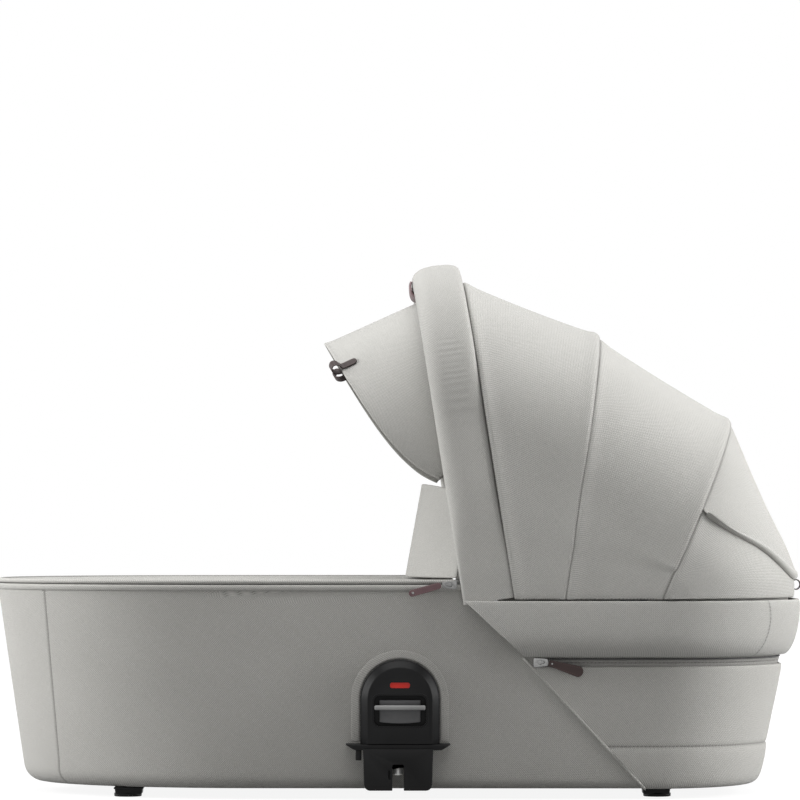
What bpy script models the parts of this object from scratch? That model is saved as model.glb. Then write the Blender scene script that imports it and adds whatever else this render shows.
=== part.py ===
"""Carrycot for a pram chassis, in metres, +Z up, +X toward the head end, left side at -Y."""
import math

import bmesh
import bpy
from mathutils import Matrix, Vector

for old_object in list(bpy.data.objects):
    bpy.data.objects.remove(old_object, do_unlink=True)

# Driving sizes of the tub
foot_reach = 0.4345
head_reach = 0.4185
tub_half_width = 0.2032
tub_bottom_z = 0.0105
tub_top_z = 0.2145
foot_draft = 0.0285
head_draft = 0.034
side_draft = 0.0235
foot_corner_length = 0.25
foot_corner_width = 0.185
head_corner_length = 0.13
head_corner_width = 0.145
bottom_edge_radius = 0.012
corner_steps = 7
fit_gap = 0.0003
cut_overrun = 0.01
smooth_angle = math.radians(35)
edge_turns = (0, 30, 60, 90)

# Walls of the tub, from the outside in
cover_thickness = 0.002
shell_thickness = 0.003
lining_thickness = 0.0015
cover_setback = 0.0012

# Rim, apron and mattress
rim_tube_radius = 0.005
rim_tube_steps = 8
binding_thickness = 0.0035
apron_thickness = 0.0058
board_thickness = 0.004
board_side_gap = 0.012
mattress_thickness = 0.034
mattress_crown = 0.009
mattress_side_gap = 0.014
mattress_draw_in = 0.007

# Hood hinge and bows
hinge_setback = 0.2515
hinge_x = head_reach - hinge_setback
hinge_z = 0.183
hinge_pin_radius = 0.004
hinge_head_radius = 0.0075
hinge_eye_radius = 0.0095
round_steps = 16
rear_rib_thickness = 0.0024
mid_rib_thickness = 0.0024
front_leg_thickness = 0.003
rib_width = 0.012
rib_seam_gap = 0.0012
front_leg_width = 0.018
front_tube_width = 0.018
front_tube_depth = 0.012
cloth_thickness = 0.0025
hood_foot_z = 0.2088
front_line_top_z = 0.566
front_rise = front_line_top_z - hood_foot_z
hood_shoulder_share = 0.47592
hood_shoulder = front_rise * hood_shoulder_share
hood_lean = 0.01
lean_length = 0.1615
rim_clear_height = 0.03
arch_top_steps = 12
sleeve_half_width = 0.0265
sleeve_thickness = 0.026
sleeve_proud = 0.003
leg_blend_length = 0.09

# Side-view places of the hood's rib lines, from the hinge and from the top of the front bow
front_foot_ahead, front_top_ahead = 0.0745, 0.13
mid_foot_behind, mid_top_behind, mid_drop_share = 0.0055, 0.0475, 0.20577
rear_foot_behind, rear_top_behind, rear_drop_share = 0.1072, 0.1905, 0.46053
cloth_drop_share = 0.04619
front_line_foot_x, front_line_top_x = hinge_x - front_foot_ahead, hinge_x - front_top_ahead
mid_line_foot_x, mid_line_top_x = hinge_x + mid_foot_behind, hinge_x + mid_top_behind
rear_line_foot_x, rear_line_top_x = hinge_x + rear_foot_behind, hinge_x + rear_top_behind
mid_line_top_z = front_line_top_z - front_rise * mid_drop_share
rear_line_top_z = front_line_top_z - front_rise * rear_drop_share

# Band and head zip
band_thickness = 0.0025
band_bottom_z = 0.149
band_start_ahead = 0.1005
band_start_x = hinge_x - band_start_ahead
band_end_out = 0.0165
head_cover_thickness = 0.0016
head_cover_out = 0.0045
zip_bottom_z = 0.1395
zip_tape_height = 0.0085
zip_tape_thickness = 0.0014
zip_teeth_height = 0.001
zip_start_ahead = 0.028
zip_start_x = hinge_x - zip_start_ahead


def finish(name, colour, roughness, metallic=0.0):
    """Make one material with a plain colour."""
    material = bpy.data.materials.new(name)
    material.use_nodes = True
    shader = material.node_tree.nodes["Principled BSDF"]
    shader.inputs["Base Color"].default_value = (*colour, 1.0)
    shader.inputs["Roughness"].default_value = roughness
    shader.inputs["Metallic"].default_value = metallic
    material.diffuse_color = (*colour, 1.0)
    return material


cover_cloth = finish("melange_cloth", (0.36, 0.355, 0.335), 0.9)
hood_cloth = finish("hood_cloth", (0.5, 0.495, 0.47), 0.9)
lining_cloth = finish("lining_cloth", (0.75, 0.74, 0.7), 0.95)
tub_plastic = finish("tub_plastic", (0.06, 0.06, 0.06), 0.5)
dark_plastic = finish("dark_plastic", (0.016, 0.016, 0.016), 0.45)
grey_plastic = finish("grey_plastic", (0.11, 0.11, 0.11), 0.5)
red_plastic = finish("red_plastic", (0.31, 0.026, 0.019), 0.4)
steel = finish("steel", (0.6, 0.6, 0.6), 0.3, 1.0)
aluminium = finish("aluminium", (0.7, 0.7, 0.7), 0.4, 1.0)
board_wood = finish("board", (0.3, 0.25, 0.18), 0.8)
brown_leather = finish("brown_leather", (0.035, 0.022, 0.018), 0.6)
mauve_leather = finish("mauve_leather", (0.135, 0.078, 0.083), 0.6)


def skin(name, loops, material, closed=False, pivot=(0, 0, 0)):
    """Join loops of points into one closed body, capped at both ends or joined end to end."""
    shape = bmesh.new()
    rows = [[shape.verts.new(point) for point in loop] for loop in loops]
    pairs = list(zip(rows, rows[1:]))
    if closed:
        pairs.append((rows[-1], rows[0]))
    else:
        shape.faces.new(rows[0])
        shape.faces.new(rows[-1])
    for low, high in pairs:
        for index, corner in enumerate(low):
            after = (index + 1) % len(low)
            shape.faces.new((corner, low[after], high[after], high[index]))
    bmesh.ops.recalc_face_normals(shape, faces=shape.faces[:])
    if shape.calc_volume(signed=True) < 0:
        bmesh.ops.reverse_faces(shape, faces=shape.faces[:])
    mesh = bpy.data.meshes.new(name)
    shape.to_mesh(mesh)
    shape.free()
    mesh.transform(Matrix.Translation(-Vector(pivot)))
    mesh.shade_smooth()
    mesh.set_sharp_from_angle(angle=smooth_angle)
    mesh.materials.append(material)
    piece = bpy.data.objects.new(name, mesh)
    piece.location = pivot
    bpy.context.scene.collection.objects.link(piece)
    return piece


def shell(name, outer, inner, material, pivot=(0, 0, 0)):
    """Make a thin body between an outer and an inner grid of points."""
    return skin(name, [out + into[::-1] for out, into in zip(outer, inner)], material, pivot=pivot)


def cut(target, cutter, operation="DIFFERENCE"):
    """Cut a tool shape out of a piece, or join it to the piece, and keep the tool as a guide."""
    change = target.modifiers.new("cut_" + cutter.name, "BOOLEAN")
    change.operation = operation
    change.solver = "EXACT"
    change.object = cutter
    cutter.hide_render = True
    cutter.display_type = "WIRE"


def rise(z):
    """Share of the way up the tub wall."""
    return (z - tub_bottom_z) / (tub_top_z - tub_bottom_z)


def wall_y(z):
    """Half width of the tub at a height."""
    return tub_half_width - side_draft * (1 - rise(z))


def corner_points(quadrant, z, end_out, side_out):
    """Points round one corner of the plan, counted from the head end's right corner."""
    head = quadrant in (0, 3)
    length = (head_corner_length if head else foot_corner_length) + end_out
    width = (head_corner_width if head else foot_corner_width) + side_out
    lean = 1 - rise(z)
    reach = head_reach - head_draft * lean if head else foot_reach - foot_draft * lean
    centre_x = (reach + end_out - length) * (1 if head else -1)
    centre_y = (wall_y(z) + side_out - width) * (1 if quadrant < 2 else -1)
    points = []
    for step in range(corner_steps + 1):
        angle = math.radians(90) * (quadrant + step / corner_steps)
        points.append(Vector((centre_x + length * math.cos(angle),
                              centre_y + width * math.sin(angle), z)))
    return points


def plan_loop(z, end_out=0.0, side_out=None):
    """Closed outline of the tub at a height, grown outward."""
    side_out = end_out if side_out is None else side_out
    points = []
    for quadrant in range(4):
        points += corner_points(quadrant, z, end_out, side_out)
    return points


def head_path(z, start_x, end_out, side_out):
    """Open outline from the left side round the head end to the right side."""
    side = wall_y(z) + side_out
    path = corner_points(3, z, end_out, side_out) + corner_points(0, z, end_out, side_out)
    return [Vector((start_x, -side, z)), *path, Vector((start_x, side, z))]


def foot_path(z, end_x, end_out):
    """Open outline from the right side round the foot end to the left side."""
    side = wall_y(z) + end_out
    path = corner_points(1, z, end_out, end_out) + corner_points(2, z, end_out, end_out)
    return [Vector((end_x, side, z)), *path, Vector((end_x, -side, z))]


def hull_rows(out, bottom_z, top_z, edge_radius):
    """Loops of a tub wall from its bottom plate up to its top edge."""
    rows = []
    for turn in edge_turns:
        angle = math.radians(turn)
        rows.append(plan_loop(bottom_z + edge_radius * (1 - math.cos(angle)),
                              out - edge_radius * (1 - math.sin(angle))))
    rows.append(plan_loop(top_z, out))
    return rows


def tray(name, out, thickness, bottom_z, top_z, edge_radius, material):
    """Open tub with an even wall and floor."""
    outer = hull_rows(out, bottom_z, top_z, edge_radius)
    inner = hull_rows(out - thickness, bottom_z + thickness, top_z, edge_radius - thickness)
    return skin(name, outer + inner[::-1], material)


def block(name, low, high, material, pivot=(0, 0, 0), edge=0.0):
    """Box between two corners, with its edges bevelled."""
    corners = [(low[0], low[1]), (high[0], low[1]), (high[0], high[1]), (low[0], high[1])]
    loops = [[Vector((x, y, z)) for x, y in corners] for z in (low[2], high[2])]
    piece = skin(name, loops, material, pivot=pivot)
    if edge:
        bevel = piece.modifiers.new("edges", "BEVEL")
        bevel.width = edge
        bevel.segments = 1
    return piece


def turned(name, centre, axis, profile, material, pivot=(0, 0, 0)):
    """Round piece from distances along an axis and the radius at each."""
    axis = Vector(axis)
    first = Vector((1, 0, 0))
    second = axis.cross(first)
    loops = []
    for distance, radius in profile:
        middle = Vector(centre) + axis * distance
        turns = [2 * math.pi * step / round_steps for step in range(round_steps)]
        loops.append([middle + first * radius * math.cos(turn) + second * radius * math.sin(turn)
                      for turn in turns])
    return skin(name, loops, material, pivot=pivot)


def wall_plate(name, outline, side, back_gap, front_y, material, pivot=(0, 0, 0)):
    """Plate whose back follows the sloping tub wall and whose front stands upright."""
    back = [Vector((x, side * (wall_y(z) - cover_setback + back_gap), z)) for x, z in outline]
    front = [Vector((x, side * front_y, z)) for x, z in outline]
    return skin(name, [back, front], material, pivot=pivot)


def smooth_share(value):
    """Ease a share between 0 and 1."""
    value = min(max(value, 0.0), 1.0)
    return value * value * (3 - 2 * value)


sides = ((-1, "left"), (1, "right"))

# Tub: cover, moulded shell and lining, one inside the other
shell_out = -cover_setback - cover_thickness - fit_gap
shell_bottom_z = tub_bottom_z + cover_thickness + fit_gap
shell_edge_radius = bottom_edge_radius - cover_thickness - fit_gap
lining_out = shell_out - shell_thickness - fit_gap
lining_bottom_z = shell_bottom_z + shell_thickness + fit_gap
lining_edge_radius = shell_edge_radius - shell_thickness - fit_gap

outer_cover = tray("outer_cover", -cover_setback, cover_thickness, tub_bottom_z, tub_top_z,
                   bottom_edge_radius, cover_cloth)
tub_shell = tray("tub_shell", shell_out, shell_thickness, shell_bottom_z, tub_top_z,
                 shell_edge_radius, tub_plastic)
lining = tray("lining", lining_out, lining_thickness, lining_bottom_z, tub_top_z,
              lining_edge_radius, lining_cloth)

# Rim tube, laid on the tub's top edge
rim_tube_out = -binding_thickness - fit_gap - rim_tube_radius
rim_tube_z = tub_top_z + fit_gap + rim_tube_radius
rim_loops = []
for step in range(rim_tube_steps):
    turn = 2 * math.pi * step / rim_tube_steps
    rim_loops.append(plan_loop(rim_tube_z + rim_tube_radius * math.sin(turn),
                               rim_tube_out + rim_tube_radius * math.cos(turn)))
skin("rim_frame", rim_loops, aluminium, closed=True)

# Binding outside the tube, below the apron
apron_bottom_z = rim_tube_z + rim_tube_radius + fit_gap
binding_bottom_z = tub_top_z + fit_gap
binding_top_z = apron_bottom_z - fit_gap
binding_edge = binding_thickness / 3
skin("rim_binding", [
    plan_loop(binding_bottom_z, -binding_edge),
    plan_loop(binding_bottom_z + binding_edge, 0),
    plan_loop(binding_top_z - binding_edge, 0),
    plan_loop(binding_top_z, -binding_edge),
    plan_loop(binding_top_z, -binding_thickness),
    plan_loop(binding_bottom_z, -binding_thickness),
], cover_cloth, closed=True)

# Apron: padded cover over the foot half, held to the rim by its zip
apron_end_ahead = 0.11
apron_end_x = hinge_x - apron_end_ahead
apron_top_z = apron_bottom_z + apron_thickness
apron_edge = apron_thickness / 3
skin("apron", [
    foot_path(apron_bottom_z, apron_end_x, -apron_edge),
    foot_path(apron_bottom_z + apron_edge, apron_end_x, 0),
    foot_path(apron_top_z - apron_edge, apron_end_x, 0),
    foot_path(apron_top_z, apron_end_x, -apron_edge),
], hood_cloth)

# Layers outside the rim at each side, from the rim outward
rear_layer_y = wall_y(apron_top_z) + fit_gap
mid_layer_y = rear_layer_y + rear_rib_thickness + fit_gap
front_layer_y = mid_layer_y + mid_rib_thickness + fit_gap
cloth_inner_y = front_layer_y + front_leg_thickness + fit_gap
hood_half_width = cloth_inner_y + cloth_thickness

# Floor board and crowned mattress
inside_out = lining_out - lining_thickness
board_bottom_z = lining_bottom_z + lining_thickness + fit_gap
board_top_z = board_bottom_z + board_thickness
skin("floor_board", [plan_loop(z, inside_out - board_side_gap)
                     for z in (board_bottom_z, board_top_z)], board_wood)

mattress_bottom_z = board_top_z + fit_gap
mattress_out = inside_out - mattress_side_gap
mattress_side_shares = ((0.0, 1.0), (0.2, 0.3), (0.5, 0.0), (0.8, 0.3), (1.0, 1.0))
mattress_crown_shares = (0.12, 0.28, 0.5, 0.75, 1.0)
crown_width_share = 0.7
crown_reach = mattress_out + tub_half_width * crown_width_share
mattress_loops = []
for height_share, draw_share in mattress_side_shares:
    mattress_loops.append(plan_loop(mattress_bottom_z + mattress_thickness * height_share,
                                    mattress_out - mattress_draw_in * draw_share))
for crown_share in mattress_crown_shares:
    crown_z = mattress_crown * math.sin(math.radians(90) * crown_share)
    mattress_loops.append(plan_loop(mattress_bottom_z + mattress_thickness + crown_z,
                                    mattress_out - mattress_draw_in - crown_reach * crown_share))
skin("mattress", mattress_loops, lining_cloth)

# Head cover below the zip, cut on the slant and thicker toward the zip at the head end
head_cover_top_z = zip_bottom_z - fit_gap
head_cover_bottom_z = tub_bottom_z + bottom_edge_radius
head_cover_top_x = zip_start_x
head_cover_bottom_behind = 0.08
head_cover_bottom_x = hinge_x + head_cover_bottom_behind
head_cover_inner = fit_gap - cover_setback
head_cover_rows_shares = ((0.0, 0.0), (0.35, 0.12), (0.7, 0.45), (1.0, 1.0))


def slant_x(z):
    """Place of the slanted seam along the side at a height."""
    share = (head_cover_top_z - z) / (head_cover_top_z - head_cover_bottom_z)
    return head_cover_top_x + (head_cover_bottom_x - head_cover_top_x) * share


cover_outer_rows = []
cover_inner_rows = []
for height_share, bulge_share in head_cover_rows_shares:
    z = head_cover_bottom_z + (head_cover_top_z - head_cover_bottom_z) * height_share
    side_out = head_cover_inner + head_cover_thickness
    cover_outer_rows.append(head_path(z, slant_x(z), side_out + head_cover_out * bulge_share,
                                      side_out))
    cover_inner_rows.append(head_path(z, slant_x(z), head_cover_inner, head_cover_inner))
shell("head_cover", list(zip(*cover_outer_rows)), list(zip(*cover_inner_rows)), cover_cloth)

# Raised welt along the slanted seam, on both sides
welt_radius = 0.0016
welt_steps = 6
welt_rows = 5
for side, tag in sides:
    loops = []
    for row in range(welt_rows):
        z = head_cover_bottom_z + (band_bottom_z - fit_gap - head_cover_bottom_z) * row / (welt_rows - 1)
        x = slant_x(z) - 2 * welt_radius
        y = wall_y(z) + head_cover_inner + welt_radius
        loop = []
        for step in range(welt_steps):
            turn = 2 * math.pi * step / welt_steps
            loop.append(Vector((x + welt_radius * math.cos(turn),
                                side * (y + welt_radius * math.sin(turn)), z)))
        loops.append(loop)
    skin("welt_" + tag, loops, cover_cloth)

# Zip tape round the head end with its row of teeth
zip_top_z = zip_bottom_z + zip_tape_height
zip_end_out = head_cover_inner + head_cover_thickness + head_cover_out
zip_row_shares = ((0.0, 0.0), (0.35, 0.0), (0.42, 1.0), (0.58, 1.0), (0.65, 0.0), (1.0, 0.0))
tape_outer_rows = []
tape_inner_rows = []
for height_share, teeth_share in zip_row_shares:
    z = zip_bottom_z + zip_tape_height * height_share
    side_out = head_cover_inner + zip_tape_thickness + zip_teeth_height * teeth_share
    tape_outer_rows.append(head_path(z, zip_start_x, zip_end_out + zip_teeth_height * teeth_share,
                                     side_out))
    tape_inner_rows.append(head_path(z, zip_start_x, head_cover_inner, head_cover_inner))
shell("head_zip_tape", list(zip(*tape_outer_rows)), list(zip(*tape_inner_rows)), cover_cloth)

# Band: skirt of the hood round the head half, standing off the tub over the hood hinges
band_top_z = hood_foot_z - fit_gap
band_start_bottom_ahead = 0.036
band_start_bottom_x = hinge_x - band_start_bottom_ahead
band_bulge = 0.002
band_row_shares = (0.0, 0.15, 0.3, 0.6, 0.85, 1.0)
band_side_shares = (0.0, 0.75, 1.0, 1.0, 1.0, 1.0)
band_end_shares = (0.36, 0.78, 0.93, 1.0, 0.85, 0.42)
band_outer_rows = []
band_inner_rows = []
for row_share, side_share, end_share in zip(band_row_shares, band_side_shares, band_end_shares):
    z = band_bottom_z + (band_top_z - band_bottom_z) * row_share
    start_x = band_start_bottom_x + (band_start_x - band_start_bottom_x) * row_share
    tight = head_cover_inner + band_thickness
    full = hood_half_width - wall_y(z) + band_bulge * math.sin(math.pi * row_share)
    side_out = tight + (full - tight) * side_share
    end_out = band_end_out * end_share
    band_outer_rows.append(head_path(z, start_x, end_out, side_out))
    band_inner_rows.append(head_path(z, start_x, end_out - band_thickness,
                                     side_out - band_thickness))
shell("hood_band", list(zip(*band_outer_rows)), list(zip(*band_inner_rows)), hood_cloth)

# Adapter on each side: arch plate with a lever window, and the socket below it
adapter_arch_half_width = 0.0414
adapter_arch_top_z = 0.147
adapter_arch_rise = 0.04
adapter_foot_z = 0.0596
adapter_stand_out = 0.0178
adapter_front_y = tub_half_width + adapter_stand_out
face_half_width = 0.0324
face_top_z = 0.1304
face_arch_rise = 0.028
face_raise = 0.0012
arch_steps = 12
front_wall = 0.003
pocket_half_width = 0.0285
pocket_bottom_z = 0.0765
pocket_top_z = 0.1275
window_half_width = 0.0272
window_bottom_z = 0.0782
window_top_z = 0.11
flag_window_half_width = 0.0102
flag_window_bottom_z = 0.1179
flag_window_top_z = 0.1243
surround_width = 0.005
surround_height = 0.0028

# Lever, flag and bolt, which rise together
lever_travel = 0.004
lever_half_width = 0.0213
lever_bottom_z = 0.0825
lever_top_z = 0.1054
lever_thickness = 0.004
lever_bar_bottom_z = 0.095
lever_bar_top_z = 0.0999
lever_bar_proud = 0.0012
flag_half_width = 0.013
flag_side_height = 0.0016
flag_thickness = 0.0015
bolt_radius = 0.003
bolt_head_radius = 0.0046
bolt_tip_z = 0.0267
bolt_head_top_z = 0.038
bolt_top_z = 0.09
bolt_stand_out = 0.0008
bolt_y = tub_half_width + bolt_stand_out

# Socket that drops on the chassis adapter
socket_x = -0.002
socket_half_width = 0.036
socket_bottom_z = 0.0113
socket_proud = 0.0015
socket_front_y = adapter_front_y + socket_proud
socket_chamfer = 0.006
wing_half_width = 0.0555
wing_bottom_z = 0.0523
wing_slope = 0.0015
receiver_half_width = 0.026
socket_front_wall = 0.004
receiver_depth = 0.0275
receiver_front_y = socket_front_y - socket_front_wall
receiver_back_y = receiver_front_y - receiver_depth
receiver_top_z = 0.0435
slot_half_width = 0.0059
slot_top_z = 0.0383


def arch_outline(half_width, foot_z, top_z, arch_rise):
    """Outline in side view of a plate with an arched top, from foot to foot."""
    points = [(half_width, foot_z)]
    for step in range(arch_steps + 1):
        angle = math.pi * step / arch_steps
        points.append((half_width * math.cos(angle),
                       top_z - arch_rise + arch_rise * math.sin(angle)))
    points.append((-half_width, foot_z))
    return points


def wall_box(name, half_width, bottom_z, top_z, side, y_inner, y_outer, material,
             centre_x=0.0, pivot=(0, 0, 0), edge=0.0):
    """Upright box on one side of the tub."""
    low_y, high_y = sorted((side * y_inner, side * y_outer))
    return block(name, (centre_x - half_width, low_y, bottom_z),
                 (centre_x + half_width, high_y, top_z), material, pivot, edge)


pocket_front_y = adapter_front_y - front_wall
lever_front_y = pocket_front_y - fit_gap
lever_back_y = lever_front_y - lever_thickness
flag_front_y = pocket_front_y - fit_gap
pocket_back_y = wall_y(pocket_bottom_z) - cover_setback - cut_overrun
adapter_step_y = adapter_front_y - face_raise

for side, tag in sides:
    outer_arch = arch_outline(adapter_arch_half_width, adapter_foot_z, adapter_arch_top_z,
                              adapter_arch_rise)
    face_arch = arch_outline(face_half_width, adapter_foot_z + fit_gap, face_top_z, face_arch_rise)
    housing = skin("adapter_housing_" + tag, [
        [Vector((x, side * (wall_y(z) - cover_setback + fit_gap), z)) for x, z in outer_arch],
        [Vector((x, side * adapter_step_y, z)) for x, z in outer_arch],
        [Vector((x, side * adapter_step_y, z)) for x, z in face_arch],
        [Vector((x, side * adapter_front_y, z)) for x, z in face_arch],
    ], dark_plastic)
    cut(housing, wall_box("pocket_tool_" + tag, pocket_half_width, pocket_bottom_z, pocket_top_z,
                          side, pocket_back_y, pocket_front_y, dark_plastic))
    cut(housing, wall_box("window_tool_" + tag, window_half_width, window_bottom_z, window_top_z,
                          side, lever_back_y, adapter_front_y + cut_overrun, dark_plastic))
    cut(housing, wall_box("flag_tool_" + tag, flag_window_half_width, flag_window_bottom_z,
                          flag_window_top_z, side, lever_back_y, adapter_front_y + cut_overrun,
                          dark_plastic))

    ring_inner = arch_outline(adapter_arch_half_width + fit_gap, adapter_foot_z,
                              adapter_arch_top_z + fit_gap, adapter_arch_rise + fit_gap)
    ring_outer = arch_outline(adapter_arch_half_width + fit_gap + surround_width, adapter_foot_z,
                              adapter_arch_top_z + fit_gap + surround_width,
                              adapter_arch_rise + fit_gap + surround_width)
    ring_loops = []
    for (near_x, near_z), (far_x, far_z) in zip(ring_inner, ring_outer):
        near_y = wall_y(near_z) - cover_setback + fit_gap
        far_y = wall_y(far_z) - cover_setback + fit_gap
        ring_loops.append([
            Vector((near_x, side * near_y, near_z)),
            Vector((far_x, side * far_y, far_z)),
            Vector(((near_x + far_x) / 2, side * (far_y + surround_height), (near_z + far_z) / 2)),
            Vector((near_x, side * (near_y + surround_height), near_z)),
        ])
    skin("adapter_surround_" + tag, ring_loops, cover_cloth)

    lever_pivot = (0, side * lever_front_y, lever_bottom_z)
    lever = wall_box("release_lever_" + tag, lever_half_width, lever_bottom_z, lever_top_z, side,
                     lever_back_y, lever_front_y, grey_plastic, pivot=lever_pivot)
    lever_bar = wall_box("bar_tool_" + tag, window_half_width - fit_gap, lever_bar_bottom_z,
                         lever_bar_top_z, side, lever_front_y - lever_thickness / 2,
                         adapter_front_y + lever_bar_proud, grey_plastic)
    cut(lever, lever_bar, "UNION")

    flag_bottom_z = flag_window_bottom_z - lever_travel - flag_side_height
    flag_top_z = flag_window_top_z + flag_side_height
    wall_box("indicator_" + tag, flag_half_width, flag_bottom_z, flag_top_z - lever_travel, side,
             flag_front_y - flag_thickness, flag_front_y, red_plastic,
             pivot=(0, side * flag_front_y, flag_bottom_z))

    socket_rows = (
        (socket_bottom_z, socket_half_width - socket_chamfer),
        (socket_bottom_z + socket_chamfer, socket_half_width),
        (wing_bottom_z, socket_half_width),
        (wing_bottom_z + wing_slope, wing_half_width),
        (adapter_foot_z - fit_gap, wing_half_width),
    )
    socket_loops = []
    for z, half_width in socket_rows:
        back_y = side * (wall_y(max(z, tub_bottom_z + bottom_edge_radius)) - cover_setback + fit_gap)
        front_y = side * socket_front_y
        socket_loops.append([
            Vector((socket_x - half_width, back_y, z)), Vector((socket_x + half_width, back_y, z)),
            Vector((socket_x + half_width, front_y, z)), Vector((socket_x - half_width, front_y, z)),
        ])
    socket = skin("adapter_socket_" + tag, socket_loops, dark_plastic)
    cut(socket, wall_box("receiver_tool_" + tag, receiver_half_width, socket_bottom_z - cut_overrun,
                         receiver_top_z, side, receiver_back_y, receiver_front_y, dark_plastic,
                         centre_x=socket_x))
    cut(socket, wall_box("slot_tool_" + tag, slot_half_width, socket_bottom_z - cut_overrun,
                         slot_top_z, side, receiver_front_y - cut_overrun / 2,
                         socket_front_y + cut_overrun, dark_plastic, centre_x=socket_x))

    bolt_centre = (socket_x, side * bolt_y, 0)
    bore = turned("bolt_bore_tool_" + tag, bolt_centre, (0, 0, 1),
                  [(receiver_top_z - cut_overrun / 2, bolt_radius + fit_gap),
                   (pocket_bottom_z + cut_overrun / 2, bolt_radius + fit_gap)], dark_plastic)
    cut(housing, bore)
    cut(socket, bore)
    turned("latch_bolt_" + tag, bolt_centre, (0, 0, 1),
           [(bolt_tip_z, bolt_head_radius / 2), (bolt_tip_z + bolt_radius / 2, bolt_head_radius),
            (bolt_head_top_z, bolt_head_radius), (bolt_head_top_z, bolt_radius),
            (bolt_top_z, bolt_radius)], steel, pivot=(socket_x, side * bolt_y, bolt_tip_z))

# Feet: four moulded steps under the tub, each with a flange inside and a pad outside
foot_end_inset = 0.1485
head_end_inset = 0.152
foot_side_inset = 0.0782
foot_places_x = (foot_end_inset - foot_reach, head_reach - head_end_inset)
foot_place_y = tub_half_width - foot_side_inset
foot_length = 0.0305
foot_width = 0.028
foot_step_share = 0.45
foot_shift = 0.0022
for place_x, end_tag, out_sign in zip(foot_places_x, ("toe", "head"), (-1, 1)):
    for side, tag in sides:
        step_z = (tub_bottom_z - fit_gap) * foot_step_share
        foot_rows = ((0, foot_shift), (step_z, foot_shift), (step_z, 0), (tub_bottom_z - fit_gap, 0))
        foot_loops = []
        for z, shift in foot_rows:
            x = place_x + out_sign * shift
            foot_loops.append([
                Vector((x + foot_length / 2 * along, side * foot_place_y + foot_width / 2 * across, z))
                for along, across in ((-1, -1), (1, -1), (1, 1), (-1, 1))])
        skin("foot_" + end_tag + "_" + tag, foot_loops, dark_plastic)

# Hood hinges outside the tub wall, under the band
hinge_plate_half_length = 0.024
hinge_plate_half_height = 0.017
hinge_head_thickness = 0.001
hinge_pin_inset = 0.0004
hinge_pin_inner_y = tub_half_width - hinge_pin_inset
button_radius = 0.009
button_cap_thickness = 0.003
button_travel = 0.004
button_shaft_end_y = hinge_pin_inner_y - fit_gap - button_travel
hinge_hole_radius = hinge_pin_radius + fit_gap
button_shaft_radius = hinge_pin_radius - fit_gap
hinge_plate_y = rear_layer_y - fit_gap
lining_inner_y = wall_y(hinge_z - button_radius) + inside_out
button_cap_y = lining_inner_y - fit_gap - button_travel

for side, tag in sides:
    hinge_centre = Vector((hinge_x, 0, hinge_z))
    outline = [(hinge_x + hinge_plate_half_length * along, hinge_z + hinge_plate_half_height * up)
               for along, up in ((-1, -1), (1, -1), (1, 1), (-1, 1))]
    plate = wall_plate("hinge_plate_" + tag, outline, side, fit_gap, hinge_plate_y, dark_plastic)
    hole = turned("hinge_hole_tool_" + tag, hinge_centre, (0, side, 0),
                  [(button_cap_y, hinge_hole_radius),
                   (cloth_inner_y + cut_overrun, hinge_hole_radius)], steel)
    for wall_piece in (plate, outer_cover, tub_shell, lining):
        cut(wall_piece, hole)
    turned("hinge_pin_" + tag, hinge_centre, (0, side, 0),
           [(hinge_pin_inner_y, hinge_pin_radius), (cloth_inner_y, hinge_pin_radius),
            (cloth_inner_y, hinge_head_radius),
            (cloth_inner_y + hinge_head_thickness, hinge_head_radius)], steel)
    turned("hood_button_" + tag, hinge_centre, (0, side, 0),
           [(button_cap_y - button_cap_thickness, button_radius - button_cap_thickness / 2),
            (button_cap_y - button_cap_thickness / 2, button_radius),
            (button_cap_y, button_radius), (button_cap_y, button_shaft_radius),
            (button_shaft_end_y, button_shaft_radius)], grey_plastic,
           pivot=hinge_centre + Vector((0, side * button_cap_y, 0)))

# Shape of every hood arch, across its leaning plane
arch_power_share = 0.8
leg_step_shares = (0.3, 0.5, 0.7, 0.85)
eye_rows = 3
arch_low_rows = 3
hood_pivot = (hinge_x, 0, hinge_z)
rib_steps = range(arch_top_steps + 1)


class ArchPoint:
    """One place on a hood arch: its point, its height up the rib and its two directions."""

    def __init__(self, point, height, across, outward):
        self.point = point
        self.height = height
        self.across = across
        self.outward = outward


def arch(line, half_width=None):
    """Arch from its left foot over to its right foot, on a line given in side view."""
    foot = Vector((line[0], 0, hood_foot_z))
    top = Vector((line[1], 0, line[2]))
    length = (top - foot).length
    up = (top - foot) / length
    shoulder = length - hood_shoulder
    half = hood_half_width if half_width is None else half_width
    lean = hood_lean * min((shoulder - rim_clear_height) / lean_length, 1) ** arch_power_share
    left = [(-half, 0.0), (-half, rim_clear_height),
            (-half + lean / 2, (rim_clear_height + shoulder) / 2)]
    crown = []
    for step in rib_steps:
        angle = math.pi * step / arch_top_steps
        reach = (half - lean) * abs(math.cos(angle)) ** arch_power_share
        height = shoulder + hood_shoulder * abs(math.sin(angle)) ** arch_power_share
        crown.append((-math.copysign(reach, math.cos(angle)), height))
    right = [(-across, height) for across, height in reversed(left)]
    profile = left + crown + right
    points = []
    for index, (across, height) in enumerate(profile):
        before = Vector(profile[max(index - 1, 0)])
        after = Vector(profile[min(index + 1, len(profile) - 1)])
        run = (after - before).normalized()
        outward = Vector((0, -run.y, 0)) + up * run.x
        width_way = Vector((up.z, 0, -up.x)) if height else Vector((1 / up.z, 0, 0))
        points.append(ArchPoint(foot + up * height + Vector((0, across, 0)), height, width_way,
                                outward))
    return points


def leg_share(height):
    """How far a bow has changed from its flat leg to its shape over the top."""
    return smooth_share((height - rim_clear_height) / leg_blend_length)


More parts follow.
